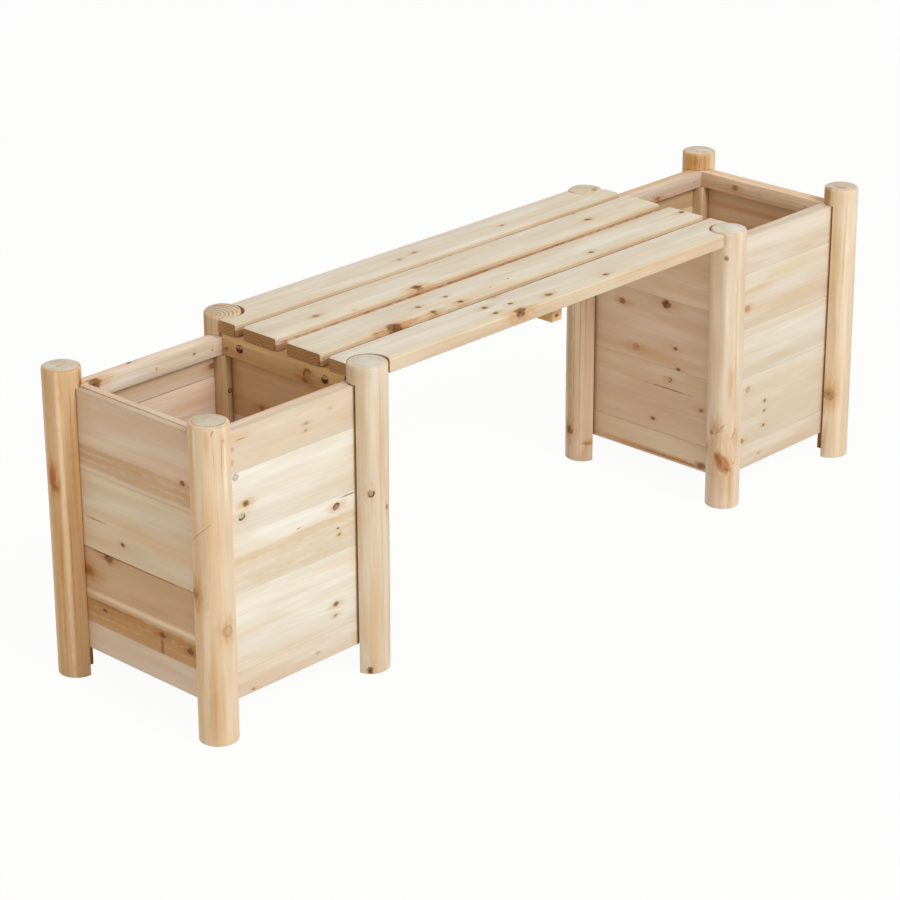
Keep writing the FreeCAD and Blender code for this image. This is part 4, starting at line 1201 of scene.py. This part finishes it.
            (-140, 0.42, -136, 0.44, 0.9, (0.80, 0.60, 0.40)),
            (-120, 0.40, -120, 0.45, 2.0, (0.92, 0.76, 0.54)),
        ],
        "headMarks": [(-160, 9, 7, 80, 1.8, (0.6, 0.5, 0.42)), (-100, 12, 10, 70, 3.0, (0.84, 0.74, 0.66))],
    },
}
postShape = {  # sizes in metres
    "height": 0.450, "rim": 0.423, "ease": 0.003, "footEase": 0.0009, "around": 72, "rings": 56,
    "roundness": 0.00035, "bend": 0.0004,  # how uneven the side and the axis are
    # The notch's cut faces take a dark brown tint: painted shade for the corner behind the walls
    "notchEase": 0.002, "notchReach": 0.045, "notchFlare": 0.003, "paintedNotchShade": (0.62, 0.41, 0.24),
    "notchGap": 0.0004,  # between the notch and the walls, where a post has no gap of its own
    "barkStretch": 1.1, "bandSoft": 0.55, "headMarkSoft": 0.5, "hoopSoft": 0.6, "hoopDepth": 0.0015,
}


def surfacePoint(post, degrees, level, seed):
    # The point on the log's side in that direction and at that height
    direction = math.radians(degrees)
    radius = postRadius(post, direction, level, seed)
    axisX, axisY = postAxis(post, level, seed)
    return Vector((axisX + radius * math.cos(direction), axisY + radius * math.sin(direction), level))


def postKnots(post, shift, seed):
    knots = []
    for degrees, level, size, dark, halo, swelling, *bark in post["knots"]:
        side = None
        if bark == ["round"]:
            side = (0, 0, 0)
        elif bark:
            turn = math.radians(bark[0])
            side = Vector((math.sin(turn), -math.cos(turn) * math.sin(math.radians(degrees)), 0))
        centre = postPlace(post, surfacePoint(post, degrees, level, seed), shift)
        knots.append(knotOf(centre, size, dark, halo, side, postShape["barkStretch"]))
    return knots


def bandStains(post, shift, seed):
    # A band that winds round the log is drawn as several straight parts
    stains = []
    for lowTurn, lowLevel, highTurn, highLevel, halfWidth, tint, *soft in post["bands"]:
        parts = max(1, math.ceil(abs(highTurn - lowTurn) / (12 + 4 * halfWidth)))  # degrees to a part
        ends = []
        for part in range(parts + 1):
            turn = lowTurn + (highTurn - lowTurn) * (part / parts)
            level = lowLevel + (highLevel - lowLevel) * (part / parts)
            ends.append(postPlace(post, surfacePoint(post, turn, level, seed), shift))
        for start, end in zip(ends, ends[1:]):
            run = end - start
            look = (run.length * 0.6, halfWidth * millimetre, tint, *(soft or [postShape["bandSoft"]]))
            stains.append(stainOf((start + end) / 2, *look, run=run.normalized()))
    return stains


def headStains(post, shift, seed):
    stains = []
    top = postShape["height"]
    axisX, axisY = postAxis(post, top, seed)
    for degrees, distance, length, turn, halfWidth, tint in post.get("headMarks", ()):
        direction = math.radians(degrees)
        reach = distance * millimetre
        point = Vector((axisX + reach * math.cos(direction), axisY + reach * math.sin(direction), top))
        slant = direction + math.radians(turn)
        look = (length / 2 * millimetre, halfWidth * millimetre, tint, postShape["headMarkSoft"])
        run = (0, math.cos(slant), math.sin(slant))
        stains.append(stainOf(postPlace(post, point, shift), *look, run=run))
    for radius, halfWidth, tint in post.get("hoops", ()):
        look = (postShape["hoopDepth"], halfWidth * millimetre, tint, postShape["hoopSoft"])
        centre = postPlace(post, (axisX, axisY, top), shift)
        stains.append(stainOf(centre, *look, hoop=radius * millimetre))
    return stains


def footToHead(foot, head, height):
    share = height / postShape["height"]
    return foot * (1 - share) + head * share


def postRadius(post, direction, height, seed):
    radius = footToHead(post["footRadius"], post["headRadius"], height) * millimetre
    around = Vector((math.cos(direction) * 1.3, math.sin(direction) * 1.3, height * 6 + seed * 7))
    radius += postShape["roundness"] * noise.noise(around)
    radius += postShape["roundness"] * 0.4 * noise.noise(around * 3.1)
    for degrees, level, size, dark, halo, swelling, *bark in post["knots"]:
        turn = math.remainder(direction - math.radians(degrees), 2 * math.pi) * radius
        reach = (turn / (size * 0.9 * millimetre)) ** 2 + ((height - level) / (size * 1.3 * millimetre)) ** 2
        radius += swelling * millimetre * math.exp(-reach)
    return radius


def postAxis(post, height, seed):
    # Where the log's own centre is at that height
    axis = []
    for side, phase in ((alongX, 1.5), (alongY, 8.5)):
        shift = footToHead(post["footShift"][side], post["headShift"][side], height) * millimetre
        shift += postShape["bend"] * noise.noise(Vector((height * 5, seed, phase)))
        axis.append(post["centre"][side] + shift)
    return axis


def postPlace(post, point, shift):
    return Vector((point[2], point[0] - post["centre"][0], point[1] - post["centre"][1])) + shift


def notchCutter(post):
    # A square prism with a flare at the log's surface, so that the notch's lips are eased
    inX = 1 if post["centre"][0] in (-outerX, innerX) else -1
    inY = -1 if post["centre"][1] > 0 else 1
    reach, ease, flare = postShape["notchReach"], postShape["notchEase"], postShape["notchFlare"]
    surface = post["headRadius"] * millimetre
    start = -post.get("gap", postShape["notchGap"])
    out = start - ease - flare
    corner = [
        (start, start), (surface - ease, start), (surface + flare, out), (reach, out),
        (reach, reach), (out, reach), (out, surface + flare), (start, surface - ease),
    ]
    outline = [(post["centre"][0] + inX * u, post["centre"][1] + inY * v) for u, v in corner]
    # The cut faces are tinted dark brown: painted shade for the corner behind the walls
    tint = shaded(post["tone"], postShape["paintedNotchShade"])
    return prismMesh(outline, -cutting["reach"], postShape["rim"] - start, tint)


def makePosts():
    height, ease, foot = postShape["height"], postShape["ease"], postShape["footEase"]
    rings, around = postShape["rings"], postShape["around"]
    levels = [(0.0, foot), (foot * 0.3, foot * 0.45), (foot, 0.0)]
    levels += [(height * step / rings, 0.0) for step in range(1, rings)]
    levels += [(height - ease, 0.0), (height - ease * 0.65, ease * 0.12)]
    levels += [(height - ease * 0.3, ease * 0.4), (height, ease)]
    for seed, (name, post) in enumerate(posts.items()):
        bm, layers = newWood()
        tiltX, tiltY = post.get("headTilt", (0.0, 0.0))
        rise = post.get("headRise", 0.0) * millimetre
        loops = []
        for level, inset in levels:
            axisX, axisY = postAxis(post, level, seed)
            abovePart = max(0.0, (level - postShape["rim"]) / (height - postShape["rim"]))
            loop = []
            for step in range(around):
                direction = 2 * math.pi * step / around
                radius = postRadius(post, direction, level, seed) - inset
                aside, ahead = radius * math.cos(direction), radius * math.sin(direction)
                lift = (tiltX * aside + tiltY * ahead + rise) * abovePart
                loop.append(bm.verts.new((axisX + aside, axisY + ahead, level + lift)))
            loops.append(loop)
        for place, (first, second) in enumerate(zip(loops, loops[1:])):
            for face in ringFaces(bm, first, second):
                face[layers["tint"]] = (*post["tone"], 1)
                face[layers["arris"]] = 1.0 if place >= len(loops) - 3 else 0.0
        addEnd(bm, layers, loops[0], post["tone"])
        addEnd(bm, layers, loops[-1], post["headTone"])
        shift = Vector((seed * 3.3, *post["pith"]))
        bm = cutAndRegrain(bm, [notchCutter(post)], lambda point: postPlace(post, point, shift))
        finish = {**finishes["log"], **post.get("finish", {})}
        knots = postKnots(post, shift, seed)
        stains = bandStains(post, shift, seed) + headStains(post, shift, seed)
        material = woodMaterial(name + "_wood", finish, knots, stains)
        finishPiece(bm, name + "_log", name, material, 30)
    print("posts ready:", len(posts))


# Battens and floor bearers, with their tones
battenBoard = {
    "ease": 0.0009, "steps": 2, "station": 0.06, "wobble": 0.0002, "pithDepth": 0.022,
    "paleEnd": (1.45, 1.9, 2.7),  # the middle batten's end, beside its own tone
}
battenGaps = {  # how far the low and the high x side of a batten stand off the wall
    "left_outer_rim_batten": (0.0007, 0.0),
    "right_outer_rim_batten": (0.0, 0.0007),
    "left_inner_back_corner_batten": (0.0, 0.0014),
    "right_outer_back_corner_batten": (0.0, 0.0008),
}
battens = {
    "left_front_rim_batten": "tan", "left_back_rim_batten": "rimCream", "left_outer_rim_batten": "tan",
    "right_front_rim_batten": "pink", "right_back_rim_batten": "pink", "right_outer_rim_batten": "litRimPeach",
    "left_outer_front_corner_batten": "honey", "left_outer_back_corner_batten": "honey",
    "left_inner_front_corner_batten": "honey", "left_inner_back_corner_batten": "honey",
    "right_outer_front_corner_batten": "tan", "right_outer_back_corner_batten": "honey",
    "right_inner_front_corner_batten": "honey", "right_inner_back_corner_batten": "tan",
    "left_seat_batten": "amber", "right_seat_batten": "gold", "middle_seat_batten": "gold",
    "left_front_floor_bearer": "honey", "left_back_floor_bearer": "honey",
    "right_front_floor_bearer": "honey", "right_back_floor_bearer": "honey",
}
battenMarks = {  # (point on the face, diameter in mm, dark, halo, bark if hollow)
    "left_back_rim_batten": [((-0.633, 0.121, 0.420), 15, 0.9, 1.0), ((-0.457, 0.120, 0.413), 4, 0.8, 0.2)],
    "left_outer_rim_batten": [((-0.645, 0.02, 0.41), 6, 0.5, 0.6)],
    "right_back_rim_batten": [((0.534, 0.120, 0.403), 8, 0.5, 0.9)],
    "right_outer_rim_batten": [((0.645, 0.051, 0.410), 9, 0.5, 0.8)],
    "left_seat_batten": [
        ((-0.405, -0.050, 0.413), 15, 0.8, 0.6, 60), ((-0.405, -0.045, 0.403), 8, 0.7, 0.8),
        ((-0.405, 0.111, 0.409), 5, 0.8, 0.4),
    ],
    "right_seat_batten": [((0.405, 0.03, 0.41), 8, 0.5, 0.8)],
    "middle_seat_batten": [((-0.0105, 0.05, 0.412), 8, 0.6, 0.8), ((-0.001, -0.139, 0.412), 5, 0.8, 0.4)],
}


def makeBattens():
    plain = woodMaterial("batten_wood", finishes["batten"])
    for order, (name, tone) in enumerate(battens.items()):
        low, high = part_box(name)
        lowGap, highGap = battenGaps.get(name, (0.0, 0.0))
        low.x += lowGap
        high.x -= highGap
        bm, layers = newWood()
        along = longestAxis(low, high)
        board = addBoard(bm, layers, low, high, along, battenBoard, tones[tone], 2000 + order)
        if name == "middle_seat_batten":
            for face in bm.faces:
                if face[layers["end"]] > 0.5:
                    face[layers["tint"]] = (*shaded(tones[tone], battenBoard["paleEnd"]), 1)
        material = plain
        if name in battenMarks:
            knots = [knotAt(board, Vector(point), *mark) for point, *mark in battenMarks[name]]
            material = woodMaterial(name + "_wood", finishes["batten"], knots)
        if name in ("left_seat_batten", "right_seat_batten"):
            cutters = headCutters(low, high, tones[tone])
            bm = cutAndRegrain(bm, cutters, lambda point: grainOf(board, point))
        finishPiece(bm, name + "_strip", name, material)
    print("battens ready:", len(battens))


# The floors' boards, from the low x side
floors = {"left_floor": ("tan", "honey", "pink"), "right_floor": ("pink", "tan", "honey")}
floorBoard = {
    "ease": 0.0009, "steps": 2, "station": 0.05, "wobble": 0.0003, "pithDepth": 0.03, "gap": 0.003,
    "knotSizes": (7, 5), "knotDark": 0.7, "knotHalo": 0.7,
}


def makeFloors():
    for order, (name, boardTones) in enumerate(floors.items()):
        low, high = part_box(name)
        gap = floorBoard["gap"]
        wide = (high.x - low.x - 2 * gap) / 3
        bm, layers = newWood()
        knots = []
        for step, tone in enumerate(boardTones):
            start = low.x + step * (wide + gap)
            boardLow, boardHigh = Vector((start, low.y, low.z)), Vector((start + wide, high.y, high.z))
            seed = 3000 + 10 * order + step
            board = addBoard(bm, layers, boardLow, boardHigh, alongY, floorBoard, tones[tone], seed)
            chance = random.Random(50 + 10 * order + step)
            for size in floorBoard["knotSizes"]:
                point = Vector((start + wide * chance.uniform(0.2, 0.8), chance.uniform(-0.1, 0.1), high.z))
                knots.append(knotAt(board, point, size, floorBoard["knotDark"], floorBoard["knotHalo"]))
        material = woodMaterial(name + "_wood", finishes["board"], knots)
        finishPiece(bm, name + "_boards", name, material)
    print("floors ready:", len(floors))


# Screws, nails and bolts: one turned shape each, set at every place by a Geometry Nodes tree.
# Sizes are in mm. The outline is the head's, from its middle: shares of its radius and of its height.
# tip is the tail end's share of the shank's radius.
fasteners = {
    "screw": {
        "slot": "screw_steel", "head": 8.0, "headHeight": 3.0, "shank": 4.0, "point": 5.0, "recess": 4.6,
        "outline": ((0.0, 0.0), (0.92, 0.0), (1.0, 0.12)), "tip": 0.1,
        "colour": srgb(118, 92, 62), "dull": srgb(66, 48, 32), "rough": 0.42, "metallic": 1.0,
    },
    "nail": {
        "slot": "screw_steel", "head": 5.0, "headHeight": 0.8, "shank": 2.0, "point": 3.0,
        "outline": ((0.0, 0.0), (0.9, 0.0), (1.0, 0.4), (1.0, 0.8)), "tip": 0.1,
        "colour": srgb(226, 206, 178), "dull": srgb(206, 182, 148), "rough": 0.7, "metallic": 0.25,
    },
    "bolt": {
        "slot": "bolt_steel", "head": 12.4, "headHeight": 4.0, "shank": 6.0, "point": 1.0, "recess": 4.0,
        "outline": ((0.0, 0.0), (0.30, 0.0), (0.62, 0.16), (0.86, 0.42), (0.98, 0.78), (1.0, 1.0)),
        "tip": 0.8,
        "colour": srgb(150, 112, 74), "dull": srgb(72, 50, 34), "rough": 0.22, "metallic": 1.0,
    },
}
fastenerKinds = {
    "post_screws": "screw", "slat_screws": "screw", "rim_nails": "nail", "floor_nails": "nail",
    "bearer_nails": "nail", "joining_bolts": "bolt",
}
turnedLook = {"recessWidth": 0.0011, "recessDepth": 0.0022, "sides": 20, "smoothAngle": 35}  # sizes in metres


def metalMaterial(name, look):
    made, tree = newMaterial(name)
    place = addNode(tree, "ShaderNodeTexCoord").outputs["Object"]
    spots = noiseAt(tree, place, (420.0, 420.0, 420.0), 3.0)
    scratches = noiseAt(tree, place, (300.0, 2600.0, 2600.0), 2.0)
    colour = mixColour(tree, ramp(tree, spots, 0.40, 0.72), (*look["colour"], 1), (*look["dull"], 1))
    rough = calc(tree, "MULTIPLY_ADD", spots, 0.3, look["rough"] - 0.1)
    bump = addNode(tree, "ShaderNodeBump", {"Strength": 0.2, "Distance": 0.0002, "Height": scratches})
    surface = addNode(
        tree, "ShaderNodeBsdfPrincipled",
        {"Base Color": colour, "Roughness": rough, "Normal": bump.outputs[0], "Metallic": look["metallic"]},
    )
    addNode(tree, "ShaderNodeOutputMaterial", {"Surface": surface.outputs[0]})
    return made


def endSpread(points, run, end, middle, reach):
    # How far the points near one end stand off the middle line
    across = [axis for axis in axes if axis != run]
    centre = [middle[axis] for axis in across]
    near = [point for point in points if abs(point[run] - end) < reach]
    return max(math.dist([point[axis] for axis in across], centre) for point in near)


def readFasteners(name):
    # Head centre, outward direction and length of every fastener of a node, from its own solids
    bm = bmesh.new()
    bm.from_mesh(nodes[name].data)
    bmesh.ops.remove_doubles(bm, verts=bm.verts, dist=0.00001)
    seen = set()
    found = []
    for first in bm.verts:
        if first in seen:
            continue
        seen.add(first)
        waiting = [first]
        island = []
        while waiting:
            vertex = waiting.pop()
            island.append(vertex.co.copy())
            for link in vertex.link_edges:
                other = link.other_vert(vertex)
                if other not in seen:
                    seen.add(other)
                    waiting.append(other)
        low = Vector([min(point[axis] for point in island) for axis in axes])
        high = Vector([max(point[axis] for point in island) for axis in axes])
        run = longestAxis(low, high)
        middle = (low + high) / 2
        length = high[run] - low[run]
        lowSpread = endSpread(island, run, low[run], middle, length * 0.2)
        headAtTop = endSpread(island, run, high[run], middle, length * 0.2) > lowSpread
        head, aim = middle.copy(), Vector((0, 0, 0))
        head[run] = high[run] if headAtTop else low[run]
        aim[run] = 1 if headAtTop else -1
        found.append((head, aim, length))
    bm.free()
    return found


def turnedShape(tree, given, look):
    # Open rings from the middle of the head down to the tip, joined into one closed skin
    rims = []
    for radiusShare, depthShare in look["outline"]:
        radius = times(tree, given["Head Radius"], radiusShare)
        rims.append((radius, times(tree, given["Head Height"], depthShare)))
    rims.append((given["Shank Radius"], given["Head Height"]))
    tailStart = calc(tree, "SUBTRACT", given["Length"], given["Point Length"])
    for radiusShare, depthShare in ((1.0, 0.0), (look["tip"], 1.0), (0.0, 1.0)):
        depth = calc(tree, "MULTIPLY_ADD", given["Point Length"], depthShare, tailStart)
        rims.append((times(tree, given["Shank Radius"], radiusShare), depth))
    rings = addNode(tree, "GeometryNodeJoinGeometry")
    for (upper, upperDepth), (lower, lowerDepth) in zip(rims, rims[1:]):
        depth = calc(tree, "SUBTRACT", lowerDepth, upperDepth)
        sizes = {"Vertices": turnedLook["sides"], "Radius Top": upper, "Radius Bottom": lower, "Depth": depth}
        ring = addNode(tree, "GeometryNodeMeshCone", sizes, fill_type="NONE").outputs["Mesh"]
        drop = addNode(tree, "ShaderNodeCombineXYZ", {2: times(tree, lowerDepth, -1.0)}).outputs[0]
        moved = addNode(tree, "GeometryNodeTransform", {"Geometry": ring, "Translation": drop})
        tree.links.new(moved.outputs[0], rings.inputs[0])
    skin = {"Geometry": rings.outputs[0], "Distance": 0.000001}
    return addNode(tree, "GeometryNodeMergeByDistance", skin).outputs[0]


def crossRecess(tree, given, turned):
    # Two crossed boxes cut out of the head's top
    arms = addNode(tree, "GeometryNodeJoinGeometry")
    long, narrow = given["Recess Width"], turnedLook["recessWidth"]
    for sizeX, sizeY in ((long, narrow), (narrow, long)):
        sizes = {0: sizeX, 1: sizeY, 2: turnedLook["recessDepth"] * 2}
        arm = addNode(tree, "ShaderNodeCombineXYZ", sizes).outputs[0]
        box = addNode(tree, "GeometryNodeMeshCube", {"Size": arm})
        tree.links.new(box.outputs["Mesh"], arms.inputs[0])
    parts = {"Mesh 1": turned, "Mesh 2": arms.outputs[0]}
    cut = addNode(tree, "GeometryNodeMeshBoolean", parts, operation="DIFFERENCE")
    cut.solver = "EXACT"
    cut.inputs["Self Intersection"].default_value = True
    return cut.outputs["Mesh"]


def fastenerTree(kind):
    tree = bpy.data.node_groups.new("set_" + kind, "GeometryNodeTree")
    face = tree.interface
    face.new_socket("Geometry", in_out="OUTPUT", socket_type="NodeSocketGeometry")
    face.new_socket("Geometry", in_out="INPUT", socket_type="NodeSocketGeometry")
    for label in ("Head Radius", "Head Height", "Shank Radius", "Point Length", "Length", "Recess Width"):
        face.new_socket(label, in_out="INPUT", socket_type="NodeSocketFloat")
    face.new_socket("Metal", in_out="INPUT", socket_type="NodeSocketMaterial")
    given = tree.nodes.new("NodeGroupInput").outputs
    result = tree.nodes.new("NodeGroupOutput").inputs
    turned = turnedShape(tree, given, fasteners[kind])
    if "recess" in fasteners[kind]:
        turned = crossRecess(tree, given, turned)
    aimName = {"Name": "aim"}
    aim = addNode(tree, "GeometryNodeInputNamedAttribute", aimName, data_type="FLOAT_VECTOR").outputs[0]
    turn = addNode(tree, "FunctionNodeAlignRotationToVector", {"Vector": aim}, axis="Z").outputs[0]
    places = {"Points": given["Geometry"], "Instance": turned, "Rotation": turn}
    placed = addNode(tree, "GeometryNodeInstanceOnPoints", places)
    real = addNode(tree, "GeometryNodeRealizeInstances", {"Geometry": placed.outputs[0]})
    metal = {"Geometry": real.outputs[0], "Material": given["Metal"]}
    dressed = addNode(tree, "GeometryNodeSetMaterial", metal)
    tree.links.new(dressed.outputs[0], result[0])
    return tree


def makeFasteners():
    paints = {kind: metalMaterial(kind + "_metal", look) for kind, look in fasteners.items()}
    trees = {kind: fastenerTree(kind) for kind in fasteners}
    for name, kind in fastenerKinds.items():
        look = fasteners[kind]
        places = readFasteners(name)
        length = places[0][2]
        mesh = bpy.data.meshes.new(name)
        mesh.from_pydata([head for head, aim, own in places], [], [])
        aims = mesh.attributes.new("aim", "FLOAT_VECTOR", "POINT")
        for value, (head, aim, own) in zip(aims.data, places):
            value.vector = aim
        holder = addObject(name + "_places", mesh)
        step = holder.modifiers.new("set", "NODES")
        step.node_group = trees[kind]
        values = {
            "Head Radius": look["head"] / 2 * millimetre, "Head Height": look["headHeight"] * millimetre,
            "Shank Radius": look["shank"] / 2 * millimetre, "Point Length": look["point"] * millimetre,
            "Length": length, "Recess Width": look.get("recess", 0.0) * millimetre, "Metal": paints[kind],
        }
        for item in step.node_group.interface.items_tree:
            if item.in_out == "INPUT" and item.name in values:
                step[item.identifier] = values[item.name]
        graph = bpy.context.evaluated_depsgraph_get()
        result = bpy.data.meshes.new_from_object(holder.evaluated_get(graph))
        bpy.data.objects.remove(holder)
        result.name = name
        smoothMesh(result, turnedLook["smoothAngle"])
        takePlaceOf(name, addObject(name + "_metal", result))
        print(name, "set:", len(places), "of", round(length / millimetre, 1), "mm")
    for name in ("joining_washers", "joining_nuts"):
        nodes[name].data.materials.clear()
        nodes[name].data.materials.append(paints["bolt"])


bpy.context.scene.view_settings.view_transform = "Standard"
makeCamera()
makeStudio()
print("camera and studio ready")
makePosts()
makeWalls()
makeSlats()
makeBattens()
makeFloors()
makeFasteners()
